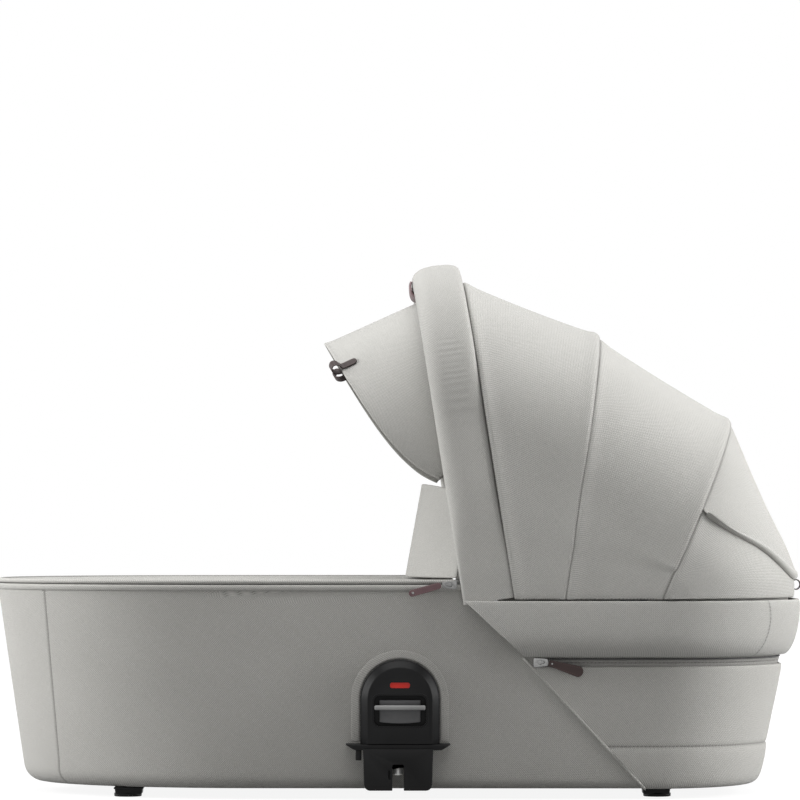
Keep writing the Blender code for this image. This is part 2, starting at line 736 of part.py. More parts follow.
def leg(start_layer_y, knee, arch_point):
    """Lower end of a bow on one side, curved from the hinge up into the arch."""
    side = math.copysign(1, arch_point.point.y)
    start = Vector((hinge_x, side * start_layer_y, hinge_z))
    end = arch_point.point.copy()
    end.y = start.y
    knee_point = Vector((knee[0], start.y, knee[1]))
    heading = (knee_point - start).normalized()
    places = [(start - heading * hinge_eye_radius, heading), (start, heading),
              (start + heading * hinge_eye_radius, heading)]
    for share in leg_step_shares:
        place = start * (1 - share) ** 2 + knee_point * 2 * share * (1 - share) + end * share ** 2
        run = ((knee_point - start) * (1 - share) + (end - knee_point) * share).normalized()
        places.append((place, run))
    return [ArchPoint(place, 0.0, Vector((run.z, 0, -run.x)), Vector((0, side, 0)))
            for place, run in places]


def bow_places(line, layer_y, knee, top_depth, dropped=0):
    """Places of a whole bow from the left hinge over to the right hinge, on its centre line."""
    points = arch(line)
    points = points[dropped:len(points) - dropped]
    foot_depth = hood_half_width - layer_y
    for place in points:
        share = leg_share(place.height)
        place.point -= place.outward * (foot_depth + (top_depth - foot_depth) * share)
    left = leg(layer_y, knee, points[0])
    right = leg(layer_y, knee, points[-1])
    return left + points + right[::-1]


def flat_rib(name, line, layer_inner_y, thickness, knee, material, dropped=0):
    """Flat rib bent over the hood, with an eye at each hinge."""
    loops = []
    top_depth = cloth_thickness + fit_gap + thickness / 2
    places = bow_places(line, layer_inner_y + thickness / 2, knee, top_depth, dropped)
    for index, place in enumerate(places):
        at_eye = min(index, len(places) - 1 - index) < eye_rows
        half = hinge_eye_radius if at_eye else rib_width / 2
        middle = place.point - place.across * (rib_width / 2 + rib_seam_gap) * leg_share(place.height)
        loops.append([middle + place.across * half * along + place.outward * thickness / 2 * out
                      for along, out in ((-1, -1), (1, -1), (1, 1), (-1, 1))])
    return skin(name, loops, material, pivot=hood_pivot)


hole_tools = [bpy.data.objects["hinge_hole_tool_" + tag] for side, tag in sides]
front_line = (front_line_foot_x, front_line_top_x, front_line_top_z)
front_slope = (front_line_top_x - front_line_foot_x) / front_rise
sleeve_cloth_gap = 0.0009
sleeve_reach = sleeve_half_width * math.hypot(1, front_slope) + sleeve_cloth_gap
cloth_line_top_z = front_line_top_z - front_rise * cloth_drop_share
cloth_line = (front_line_foot_x + sleeve_reach,
              front_line_foot_x + sleeve_reach + front_slope * (cloth_line_top_z - hood_foot_z),
              cloth_line_top_z)
mid_line = (mid_line_foot_x, mid_line_top_x, mid_line_top_z)
rear_line = (rear_line_foot_x, rear_line_top_x, rear_line_top_z)
front_knee_ahead, front_knee_rise = 0.0715, 0.006
mid_knee_behind, mid_knee_rise = 0.0035, 0.015
rear_knee_rise = 0.026
front_knee = (hinge_x - front_knee_ahead, hinge_z + front_knee_rise)
mid_knee = (hinge_x + mid_knee_behind, hinge_z + mid_knee_rise)
rear_knee = (rear_line_foot_x, hinge_z + rear_knee_rise)

rear_rib = flat_rib("rear_bow_rib", rear_line, rear_layer_y, rear_rib_thickness, rear_knee,
                    tub_plastic, dropped=arch_low_rows)
mid_rib = flat_rib("mid_bow_rib", mid_line, mid_layer_y, mid_rib_thickness, mid_knee, tub_plastic)

# Front bow: a tube flattened at its legs, inside a padded sleeve
tube_steps = 10
sleeve_ease = 0.0014
sleeve_foot_thickness = hood_half_width - rear_layer_y
front_leg_y = front_layer_y + front_leg_thickness / 2
sleeve_corner_shares = ((-1.0, 0.34), (-0.8, 0.08), (-0.4, 0.0), (0.4, 0.0), (0.8, 0.08), (1.0, 0.34),
                        (1.0, 0.9), (0.95, 1.0), (-0.95, 1.0), (-1.0, 0.9))


def tube_loop(place, gap):
    """Section of the front bow's tube, flat at the leg and oval over the top."""
    share = leg_share(place.height)
    width = front_leg_width + (front_tube_width - front_leg_width) * share
    depth = front_leg_thickness + (front_tube_depth - front_leg_thickness) * share
    loop = []
    for step in range(tube_steps):
        turn = math.pi - math.pi * (2 * step + 1) / tube_steps
        loop.append(place.point + place.across * (width / 2 + gap) * math.cos(turn)
                    + place.outward * (depth / 2 + gap) * math.sin(turn))
    return loop


tube_depth = sleeve_thickness / 2 - sleeve_proud
front_places = bow_places(front_line, front_leg_y, front_knee, tube_depth)
front_tube = skin("front_bow_tube", [tube_loop(place, 0.0) for place in front_places], aluminium,
                  pivot=hood_pivot)
for hole in hole_tools:
    for bow in (rear_rib, mid_rib, front_tube):
        cut(bow, hole)

sleeve_outer = []
for place in arch(front_line):
    share = leg_share(place.height)
    thickness = sleeve_foot_thickness + (sleeve_thickness - sleeve_foot_thickness) * share
    proud = sleeve_proud * share
    sleeve_outer.append([place.point + place.across * sleeve_half_width * along
                         + place.outward * (proud - thickness * depth)
                         for along, depth in sleeve_corner_shares])
arch_count = len(sleeve_outer)
leg_count = (len(front_places) - arch_count) // 2
tunnel = [tube_loop(place, sleeve_ease) for place in front_places[leg_count:leg_count + arch_count]]
skin("front_bow_sleeve", sleeve_outer + tunnel[::-1], hood_cloth, closed=True, pivot=hood_pivot)

# Leather grip under the middle of the sleeve
grip_half_width = 0.0215
grip_thickness = 0.0075
grip_reach = 0.1
grip_lip_width = 0.0042
grip_lip_height = 0.015
grip_front = sleeve_half_width + fit_gap
grip_corners = ((-grip_front, -grip_lip_height), (-grip_front, 0.0), (grip_half_width, 0.0),
                (grip_half_width, grip_thickness / 2), (grip_half_width * 4 / 5, grip_thickness),
                (-grip_half_width, grip_thickness), (-grip_front - grip_lip_width, grip_thickness / 3),
                (-grip_front - grip_lip_width, -grip_lip_height * 2 / 3))
grip_loops = []
for place in arch(front_line):
    if abs(place.point.y) < grip_reach:
        grip_top = sleeve_thickness - sleeve_proud + fit_gap
        grip_loops.append([place.point + place.across * along - place.outward * (grip_top + depth)
                           for along, depth in grip_corners])
skin("carry_grip", grip_loops, mauve_leather, pivot=hood_pivot)


def cloth_between(name, near_line, far_line, near_gap, far_gap, near_half):
    """Hood cloth stretched between two arches."""
    outer = []
    inner = []
    for near, far in zip(arch(near_line, near_half), arch(far_line)):
        run = (far.point - near.point).normalized()
        start = near.point + run * near_gap
        end = far.point - run * far_gap
        outer.append([start, end])
        inner.append([start - near.outward * cloth_thickness, end - far.outward * cloth_thickness])
    return skin(name, [out + into[::-1] for out, into in zip(outer, inner)], hood_cloth,
                pivot=hood_pivot)


seam_gap = 0.0004
cloth_between("hood_panel_front", cloth_line, mid_line, seam_gap, seam_gap, hood_half_width)
cloth_between("hood_panel_mid", mid_line, rear_line, seam_gap, seam_gap, None)

# Rear cloth from the last rib down to the band round the head end
rear_end_out = 0.0044
rear_seam_gap = 0.0013
rear_foot_step = 0.004
rear_bend_share = 0.9
rounding_share = 1e-9


def evenly(points, shares):
    """Places at given shares of the length of a path."""
    lengths = [0.0]
    for before, after in zip(points, points[1:]):
        lengths.append(lengths[-1] + (after - before).length)
    places = []
    for share in shares:
        wanted = lengths[-1] * share
        index = max(i for i in range(len(points) - 1) if lengths[i] <= wanted + rounding_share)
        part = (wanted - lengths[index]) / (lengths[index + 1] - lengths[index])
        places.append(points[index].lerp(points[index + 1], part))
    return places


def path_shares(points):
    """Share of a path's length at each of its points."""
    lengths = [0.0]
    for before, after in zip(points, points[1:]):
        lengths.append(lengths[-1] + (after - before).length)
    return [length / lengths[-1] for length in lengths]


rear_arch = arch(rear_line)
rear_shares = path_shares([place.point for place in rear_arch])
rear_foot_z = hood_foot_z + cloth_thickness
rear_bend_z = apron_top_z + cloth_thickness


def rear_edge(z):
    """Places round the head end at a height, one for each point of the last arch."""
    path = head_path(z, rear_line_foot_x + rear_foot_step, rear_end_out,
                     hood_half_width - wall_y(z))
    return evenly(path, rear_shares)


rear_feet = rear_edge(rear_foot_z)
rear_bends = rear_edge(rear_bend_z)


def rear_point(index, share):
    """Point on the outside of the rear cloth: rib at 0, bend over the rim, foot at 1."""
    top = rear_arch[index].point
    bend = rear_bends[index]
    if share > rear_bend_share:
        return bend.lerp(rear_feet[index], (share - rear_bend_share) / (1 - rear_bend_share))
    start = top + (bend - top).normalized() * rear_seam_gap
    return start.lerp(bend, share / rear_bend_share)


def rear_normal(index, share):
    """Outward direction of the rear cloth."""
    if share == 0:
        return rear_arch[index].outward
    low = max(index - 1, 0)
    high = min(index + 1, len(rear_arch) - 1)
    along = rear_point(high, share) - rear_point(low, share)
    end = rear_feet[index] if share == 1 else rear_bends[index]
    down = end - (rear_bends[index] if share == 1 else rear_arch[index].point)
    normal = down.cross(along).normalized()
    outside = rear_point(index, share) - Vector((hinge_x, 0, hinge_z))
    return normal if normal.dot(outside) > 0 else -normal


# Flap over the rear cloth, ending in a rolled hem that slopes down to the head end
flap_thickness = 0.002
flap_gap = 0.0012
flap_lift = 0.0015
flap_start_index = 4
hem_start_behind, hem_drop_share = 0.145, 0.27576
hem_end_behind, hem_end_rise = 0.257, 0.0041
hem_start_x, hem_start_z = hinge_x + hem_start_behind, rear_line_top_z - front_rise * hem_drop_share
hem_end_x, hem_end_z = hinge_x + hem_end_behind, apron_top_z + hem_end_rise
least_hem_share = 0.2
most_hem_share = 0.97
flap_row_shares = (0.0, 0.33, 0.66, 1.0)


def hem_share(index):
    """How far down the rear cloth the hem crosses, at one place round the hood."""
    top = rear_arch[index].point
    bend = rear_bends[index]
    fall = (hem_end_z - hem_start_z) / (hem_end_x - hem_start_x)
    top_over = top.z - hem_start_z - fall * (top.x - hem_start_x)
    bend_over = bend.z - hem_start_z - fall * (bend.x - hem_start_x)
    crossing_share = top_over / (top_over - bend_over)
    return rear_bend_share * min(max(crossing_share, least_hem_share), most_hem_share)


rear_loops = []
flap_loops = []
for index in range(len(rear_arch)):
    flap_shares = [share * hem_share(index) for share in flap_row_shares]
    outer = []
    inner = []
    for share in (*flap_shares, rear_bend_share, 1):
        point = rear_point(index, share)
        outer.append(point)
        inner.append(point - rear_normal(index, share) * cloth_thickness)
    rear_loops.append(outer + inner[::-1])
    if flap_start_index <= index < len(rear_arch) - flap_start_index:
        over = []
        under = []
        for share, row_share in zip(flap_shares, flap_row_shares):
            normal = rear_normal(index, share)
            point = rear_point(index, share) + normal * (flap_gap + flap_lift * row_share)
            under.append(point)
            over.append(point + normal * flap_thickness)
        flap_loops.append(over + under[::-1])
skin("hood_panel_rear", rear_loops, hood_cloth, pivot=hood_pivot)
skin("rear_flap", flap_loops, hood_cloth, pivot=hood_pivot)

# Sun visor on the front bow, hinged at both ends of its edge wire
visor_hinge_ahead, visor_drop_share = 0.116, 0.6467
visor_top_drop = 0.032
visor_hinge_x = hinge_x - visor_hinge_ahead
visor_hinge_z = front_line_top_z - front_rise * visor_drop_share
visor_hinge = Vector((visor_hinge_x, 0, visor_hinge_z))
visor_reach = front_line_top_z - visor_hinge_z - visor_top_drop
visor_ease = 0.0015
visor_half_width = hood_half_width - hood_lean + sleeve_proud - sleeve_thickness - visor_ease
visor_front_angle = 131.4
visor_rear_angle = 97.0
visor_start_angle = 4.0
visor_droop = 0.019
visor_thickness = 0.002
visor_steps = 14
visor_row_shares = (0.0, 0.5, 1.0)
visor_droop_share = 0.6
wire_aim_share = 0.9
wire_radius = 0.0017
wire_steps = 6


def visor_point(step, row_share, depth):
    """Point of the visor across its arch and from its rear edge to its front edge."""
    sweep = math.radians(visor_start_angle + (180 - 2 * visor_start_angle) * step / visor_steps)
    across = -(visor_half_width - depth) * math.copysign(
        abs(math.cos(sweep)) ** arch_power_share, math.cos(sweep))
    reach = (visor_reach - depth) * math.sin(sweep) ** arch_power_share
    turn = math.radians(visor_rear_angle + (visor_front_angle - visor_rear_angle) * row_share)
    middle = math.radians(visor_rear_angle + visor_front_angle) / 2
    half = math.radians(visor_front_angle - visor_rear_angle) / 2
    droop = visor_droop * row_share * math.sin(math.pi * (reach / visor_reach) ** visor_droop_share)
    reach *= math.cos(half) / math.cos(turn - middle)
    x = reach * math.cos(turn) - droop * math.sin(turn)
    z = reach * math.sin(turn) + droop * math.cos(turn)
    return visor_hinge + Vector((x, across, z))


visor_loops = []
for step in range(visor_steps + 1):
    outer = [visor_point(step, share, 0.0) for share in visor_row_shares]
    inner = [visor_point(step, share, visor_thickness) for share in visor_row_shares]
    visor_loops.append(outer + inner[::-1])
skin("visor_panel", visor_loops, hood_cloth, pivot=visor_hinge)



def sleeve_inner_y(z):
    """Half width inside the front bow's sleeve at a height."""
    places = [place.point for place in arch(front_line)]
    low, high = next(pair for pair in zip(places, places[1:]) if pair[0].z <= z <= pair[1].z)
    return -low.lerp(high, (z - low.z) / (high.z - low.z)).y + sleeve_proud - sleeve_thickness


# Edge wire of the visor, turned out at both ends to its seats on the sleeve
wire_gap = wire_radius + fit_gap
wire_points = [visor_hinge + Vector((0, 2 * fit_gap - sleeve_inner_y(visor_hinge_z), 0)),
               visor_hinge + Vector((0, -visor_half_width, 0))]
for step in range(visor_steps + 1):
    near = visor_point(step, wire_aim_share, visor_thickness / 2)
    edge = visor_point(step, 1, visor_thickness / 2)
    wire_points.append(edge + (edge - near).normalized() * wire_gap)
wire_points += [Vector((point.x, -point.y, point.z)) for point in (wire_points[1], wire_points[0])]
wire_loops = []
for index, point in enumerate(wire_points):
    before = wire_points[max(index - 1, 0)]
    after = wire_points[min(index + 1, len(wire_points) - 1)]
    run = (after - before).normalized()
    first = run.cross(Vector((1, 0, 1)).normalized()).normalized()
    second = run.cross(first)
    wire_loops.append([point + first * wire_radius * math.cos(2 * math.pi * turn / wire_steps)
                       + second * wire_radius * math.sin(2 * math.pi * turn / wire_steps)
                       for turn in range(wire_steps)])
skin("visor_wire", wire_loops, cover_cloth, pivot=visor_hinge)


# Leather loop sewn over the visor's edge on each side of its middle
loop_step = 4
loop_out = 0.0125
loop_drop = 0.009
loop_width = 0.0095
strap_thickness = 0.0014
strap_lift = 0.0014
loop_path_shares = ((-1.5, 0.0), (-0.7, 0.0), (-0.3, 0.03), (-0.02, 0.4), (0.15, 0.85), (0.45, 1.1),
                    (0.75, 0.85), (0.88, 0.35), (0.75, -0.15), (0.5, -0.5), (0.2, -0.7))


def edge_frame(step):
    """Place on the visor's edge with its directions outward, off the cloth and along the edge."""
    tip = visor_point(step, 1, 0)
    out = (tip - visor_point(step, wire_aim_share, 0)).normalized()
    along = (visor_point(step + 1, 1, 0) - visor_point(step - 1, 1, 0)).normalized()
    off = out.cross(along).normalized()
    if off.dot(tip - visor_hinge) < 0:
        off = -off
    return tip, out, off, along


for side, tag in sides:
    tip, out, off, along = edge_frame(loop_step if side < 0 else visor_steps - loop_step)
    path = [tip + out * loop_out * reach + off * (strap_lift + loop_drop * drop)
            for reach, drop in loop_path_shares]
    loops = []
    for index, point in enumerate(path):
        run = (path[min(index + 1, len(path) - 1)] - path[max(index - 1, 0)]).normalized()
        skyward = run.cross(along)
        loops.append([point + skyward * strap_thickness / 2 * up + along * loop_width / 2 * wide
                      for up, wide in ((-1, -1), (1, -1), (1, 1), (-1, 1))])
    skin("visor_loop_" + tag, loops, brown_leather, pivot=visor_hinge)

# Stand-up wind flap at the head edge of the apron, curved back toward the hood at its sides
flap_hinge_ahead = 0.1585
flap_hinge_x = hinge_x - flap_hinge_ahead
flap_hinge_z = apron_top_z + fit_gap
wind_flap_top_gap = 0.0038
wind_flap_height = visor_hinge_z - flap_hinge_z - wind_flap_top_gap
wind_flap_thickness = 0.003
wind_flap_side_gap = 0.004
wind_flap_half_width = visor_half_width - wind_flap_side_gap
wind_flap_sweep = 0.0525
wind_flap_lean = 0.018
wind_flap_side_drop = 0.012
wind_flap_steps = 16
wind_flap_power = 2.6
wind_flap_drop_power = 3
wind_flap_rows_shares = (0.0, 0.5, 0.97, 1.0)
wind_flap_loops = []
for step in range(wind_flap_steps + 1):
    share = 2 * step / wind_flap_steps - 1
    top_drop = wind_flap_side_drop * abs(share) ** wind_flap_drop_power
    outer = []
    inner = []
    bend = wind_flap_sweep * wind_flap_power * abs(share) ** (wind_flap_power - 1)
    side_run = Vector((math.copysign(bend, share), wind_flap_half_width, 0)).normalized()
    back = Vector((side_run.y, -side_run.x, 0)) * wind_flap_thickness
    for row_share in wind_flap_rows_shares:
        height = (wind_flap_height - top_drop) * row_share
        x = (flap_hinge_x + wind_flap_sweep * abs(share) ** wind_flap_power
             + wind_flap_lean * row_share)
        point = Vector((x, wind_flap_half_width * share, flap_hinge_z + height))
        outer.append(point)
        inner.append(point + back)
    wind_flap_loops.append(outer + inner[::-1])
wind_flap_hinge = (flap_hinge_x, 0, flap_hinge_z)
skin("wind_flap", wind_flap_loops, hood_cloth, pivot=wind_flap_hinge)

# Zip sliders with their leather pulls
slider_length = 0.016
slider_height = 0.0085
slider_thickness = 0.0035
slider_edge = 0.0008
pull_thickness = 0.0018
pull_gap = 0.0005
pull_hinge_proud = 0.0008
head_pull_length = 0.036
head_pull_width = 0.0092
head_pull_droop = 0.011
apron_pull_length = 0.034
apron_pull_width = 0.0072
apron_pull_droop = 0.009
apron_slider_ahead = 0.1235
apron_slider_x = hinge_x - apron_slider_ahead
pull_row_shares = (0.0, 0.35, 0.7, 1.0)
pull_eye_share = 0.7
pull_bend = 1.3


def pull(name, hinge, side, heading, length, width, droop, material):
    """Leather strap hanging from a slider along the side of the tub."""
    loops = []
    for share in pull_row_shares:
        x = hinge.x + heading * (length * share + pull_gap)
        z = hinge.z - droop * share ** pull_bend
        half = width / 2 * (1 if share else pull_eye_share)
        inner_y = hinge.y - side * pull_thickness / 2
        outer_y = hinge.y + side * pull_thickness / 2
        loops.append([Vector((x, inner_y, z - half)), Vector((x, inner_y, z + half)),
                      Vector((x, outer_y, z + half)), Vector((x, outer_y, z - half))])
    skin(name, loops, material, pivot=hinge)


zip_middle_z = zip_bottom_z + zip_tape_height / 2
tape_front_y = wall_y(zip_top_z) + head_cover_inner + zip_tape_thickness + zip_teeth_height + fit_gap
wall_box("head_zip_slider", slider_length / 2, zip_bottom_z + fit_gap,
         zip_bottom_z + slider_height - fit_gap, -1, tape_front_y, tape_front_y + slider_thickness, steel,
         centre_x=zip_start_x + slider_length / 2,
         pivot=(zip_start_x, -tape_front_y, zip_middle_z), edge=slider_edge)
head_pull_hinge = Vector((zip_start_x + slider_length,
                          -(tape_front_y + slider_thickness + pull_hinge_proud),
                          zip_middle_z))
pull("head_zip_pull", head_pull_hinge, -1, 1, head_pull_length, head_pull_width, head_pull_droop,
     brown_leather)

apron_zip_y = wall_y(apron_top_z) + fit_gap
apron_zip_z = (binding_top_z + apron_bottom_z) / 2
for side, tag in sides:
    wall_box("apron_zip_slider_" + tag, slider_length / 2, apron_zip_z - slider_height / 2,
             apron_zip_z + slider_height / 2, side, apron_zip_y, apron_zip_y + slider_thickness,
             steel, centre_x=apron_slider_x + slider_length / 2,
             pivot=(apron_slider_x, side * apron_zip_y, apron_zip_z), edge=slider_edge)
    hinge = Vector((apron_slider_x,
                    side * (apron_zip_y + slider_thickness + pull_hinge_proud), apron_zip_z))
    pull("apron_zip_pull_" + tag, hinge, side, -1, apron_pull_length, apron_pull_width,
         apron_pull_droop, mauve_leather)

# Leather loop at the back of the hood, over the rim
rear_loop_z = 0.2225
rear_loop_depth = 0.00585
rear_loop_height = 0.0065
rear_loop_wall = 0.0016
rear_loop_width = 0.009
rear_loop_count = 12
rear_loop_x = (head_reach + head_draft * (rise(rear_loop_z) - 1) + rear_end_out
               + rear_loop_depth + 2 * fit_gap)
rear_loop_loops = []
for shrink, y_share in ((0, -1), (0, 1), (rear_loop_wall, 1), (rear_loop_wall, -1)):
    loop = []
    for step in range(rear_loop_count):
        turn = 2 * math.pi * step / rear_loop_count
        loop.append(Vector((rear_loop_x + (rear_loop_depth - shrink) * math.cos(turn),
                            rear_loop_width / 2 * y_share,
                            rear_loop_z + (rear_loop_height - shrink) * math.sin(turn))))
    rear_loop_loops.append(loop)
skin("rear_loop", rear_loop_loops, brown_leather, closed=True, pivot=hood_pivot)
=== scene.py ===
from collections import namedtuple
import math

import bmesh
import bpy
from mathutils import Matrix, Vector


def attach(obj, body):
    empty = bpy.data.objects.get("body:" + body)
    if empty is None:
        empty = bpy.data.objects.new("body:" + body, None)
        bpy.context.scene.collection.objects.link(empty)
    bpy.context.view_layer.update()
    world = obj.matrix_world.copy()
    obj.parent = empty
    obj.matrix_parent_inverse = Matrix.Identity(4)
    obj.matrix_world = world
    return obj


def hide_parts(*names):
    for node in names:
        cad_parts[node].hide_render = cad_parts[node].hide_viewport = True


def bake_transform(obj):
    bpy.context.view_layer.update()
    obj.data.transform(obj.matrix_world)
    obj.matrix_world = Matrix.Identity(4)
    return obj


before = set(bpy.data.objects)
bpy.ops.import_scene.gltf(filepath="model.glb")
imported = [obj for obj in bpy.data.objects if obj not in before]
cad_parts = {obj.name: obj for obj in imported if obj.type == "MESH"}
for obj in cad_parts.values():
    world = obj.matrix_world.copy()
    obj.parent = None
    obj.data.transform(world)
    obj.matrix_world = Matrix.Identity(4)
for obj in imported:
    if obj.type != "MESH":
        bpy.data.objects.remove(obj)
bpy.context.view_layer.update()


# Tub cover. The hard tub is dressed in a woven melange cloth, pulled tight over its walls and
# its bottom edge. Two seams run down the walls where the foot end meets the sides.
foot_reach = 0.4345
head_reach = 0.4185
half_width = 0.2032
bottom_z, top_z = 0.0105, 0.2145
foot_draft, head_draft, side_draft = 0.0285, 0.034, 0.0235
foot_corner = (0.25, 0.185)
head_corner = (0.13, 0.145)
bottom_round = 0.009
foot_round = 0.018
foot_seam_top, foot_seam_bottom = 50.0, 55.0
seam_half_width = 0.0011
seam_depth = 0.0011


def fall(z):
    return (top_z - z) / (top_z - bottom_z)


def wall_y(z):
    return half_width - side_draft * fall(z)


def ring_point(z, angle, end_out=0.0, side_out=0.0):
    """A point of the tub's outline: 0 to 360 degrees, four quarter turns joined by straight sides."""
    head = angle <= 90 or angle >= 270
    length = (head_corner if head else foot_corner)[0] + end_out
    width = (head_corner if head else foot_corner)[1] + side_out
    reach = head_reach - head_draft * fall(z) if head else foot_reach - foot_draft * fall(z)
    turn = math.radians(angle)
    right = turn < math.pi
    centre_x = (reach + end_out - length) * (1 if head else -1)
    centre_y = (wall_y(z) + side_out - width) * (1 if right else -1)
    return Vector((centre_x + length * math.cos(turn), centre_y + width * math.sin(turn), z))


def quarter(start, steps=14):
    """Angles of one corner of the outline, its ends pulled a hair off the straight sides."""
    angles = [start + 90 * step / steps for step in range(steps + 1)]
    angles[0] += 0.01
    angles[-1] -= 0.01
    return angles


def full_turn(steps):
    return [angle for start in (0, 90, 180, 270) for angle in quarter(start, steps)]


def pick(*pieces):
    """Select these pieces alone, with the first one active."""
    bpy.ops.object.select_all(action="DESELECT")
    for piece in pieces:
        piece.select_set(True)
    bpy.context.view_layer.objects.active = pieces[0]


def apply(piece, kind, **settings):
    """Give a piece a modifier with these settings and apply it."""
    pick(piece)
    change = piece.modifiers.new(kind.lower(), kind)
    for name, value in settings.items():
        setattr(change, name, value)
    bpy.ops.object.modifier_apply(modifier=change.name)


def distances(path):
    """Distance along a path to each of its points."""
    lengths = [0.0]
    for before, after in zip(path, path[1:]):
        lengths.append(lengths[-1] + (after - before).length)
    return lengths


def cloth_grid(name, rows, closed=False, seams=None, levels=0, thickness=0.0):
    """Cloth from rows of points, with its own map in metres and a mark along its seams."""
    mesh = bpy.data.meshes.new(name)
    count = len(rows[0])
    cells = [(low, index) for low in range(len(rows) - 1)
             for index in range(count if closed else count - 1)]
    mesh.from_pydata([point for row in rows for point in row], [], [
        (low * count + index, low * count + (index + 1) % count,
         (low + 1) * count + (index + 1) % count, (low + 1) * count + index) for low, index in cells])
    across = []
    for row in rows:
        lengths = distances([*row, row[0]])
        across.append([length - lengths[count - 1] / 2 for length in lengths])
    if closed:
        across = [[sum(places) / len(rows) for places in zip(*across)]] * len(rows)
    along = [0.0]
    for low, high in zip(rows, rows[1:]):
        along.append(along[-1] + sum((b - a).length for a, b in zip(low, high)) / count)
    layer = mesh.uv_layers.new(name="cloth")
    for face, (low, index) in zip(mesh.polygons, cells):
        corners = ((index, low), (index + 1, low), (index + 1, low + 1), (index, low + 1))
        for corner, (column, row) in zip(face.loop_indices, corners):
            layer.data[corner].uv = (across[row][column], along[row])
    mark = mesh.attributes.new("seam", "FLOAT", "POINT")
    if seams:
        mark.data.foreach_set("value", [value for row in seams for value in row])
    piece = bpy.data.objects.new(name, mesh)
    bpy.context.scene.collection.objects.link(piece)
    if thickness:
        apply(piece, "SOLIDIFY", thickness=thickness, offset=-1, use_even_offset=True)
    if levels:
        apply(piece, "SUBSURF", levels=levels, render_levels=levels)
    pick(piece)
    bpy.ops.object.shade_smooth()
    return piece


def mend(piece, fill=lambda edge: True):
    """Weld the points that meet, close the chosen openings and turn a closed piece's faces outward."""
    shape = bmesh.new()
    shape.from_mesh(piece.data)
    bmesh.ops.remove_doubles(shape, verts=shape.verts, dist=1e-6)
    bmesh.ops.dissolve_degenerate(shape, edges=shape.edges, dist=1e-7)
    bmesh.ops.holes_fill(shape, edges=[edge for edge in shape.edges if edge.is_boundary and fill(edge)])
    if not any(edge.is_boundary for edge in shape.edges):
        bmesh.ops.recalc_face_normals(shape, faces=shape.faces)
    shape.to_mesh(piece.data)
    shape.free()


def wire(tree, node, sockets):
    """Give each named socket of a node its value or its link."""
    for socket, value in dict(sockets).items():
        if isinstance(value, bpy.types.NodeSocket):
            tree.links.new(value, node.inputs[socket])
        else:
            node.inputs[socket].default_value = value


def add_node(tree, kind, sockets=(), **settings):
    """Add a shader node with its settings and sockets, and return its outputs."""
    node = tree.nodes.new("ShaderNode" + kind)
    for name, value in settings.items():
        setattr(node, name, value)
    wire(tree, node, sockets)
    return node.outputs


def calc(tree, kind, *values):
    return add_node(tree, "Math", enumerate(values), operation=kind)[0]


def mapped(tree, value, low=0, high=1, out_low=0, out_high=1):
    """Map one range of a value onto another, and stop at its ends."""
    return add_node(tree, "MapRange", {"Value": value, "From Min": low, "From Max": high,
                                       "To Min": out_low, "To Max": out_high})[0]


def ramp(tree, value, *ends):
    """Colour ramp between two ends, each a position and a colour."""
    node = tree.nodes.new("ShaderNodeValToRGB")
    for element, (position, colour) in zip(node.color_ramp.elements, ends):
        element.position, element.color = position, (*colour, 1)
    wire(tree, node, {0: value})
    return node.outputs[0]


def colour_mix(tree, kind, share, first, second):
    return add_node(tree, "Mix", {0: share, 6: first, 7: second}, data_type="RGBA", blend_type=kind)[2]


def bump(tree, height, strength, distance):
    return add_node(tree, "Bump", {"Strength": strength, "Distance": distance, "Height": height})[0]


def new_material(name):
    """A material, its node tree and its main shader."""
    material = bpy.data.materials.new(name)
    material.use_nodes = True
    return material, material.node_tree, material.node_tree.nodes["Principled BSDF"]


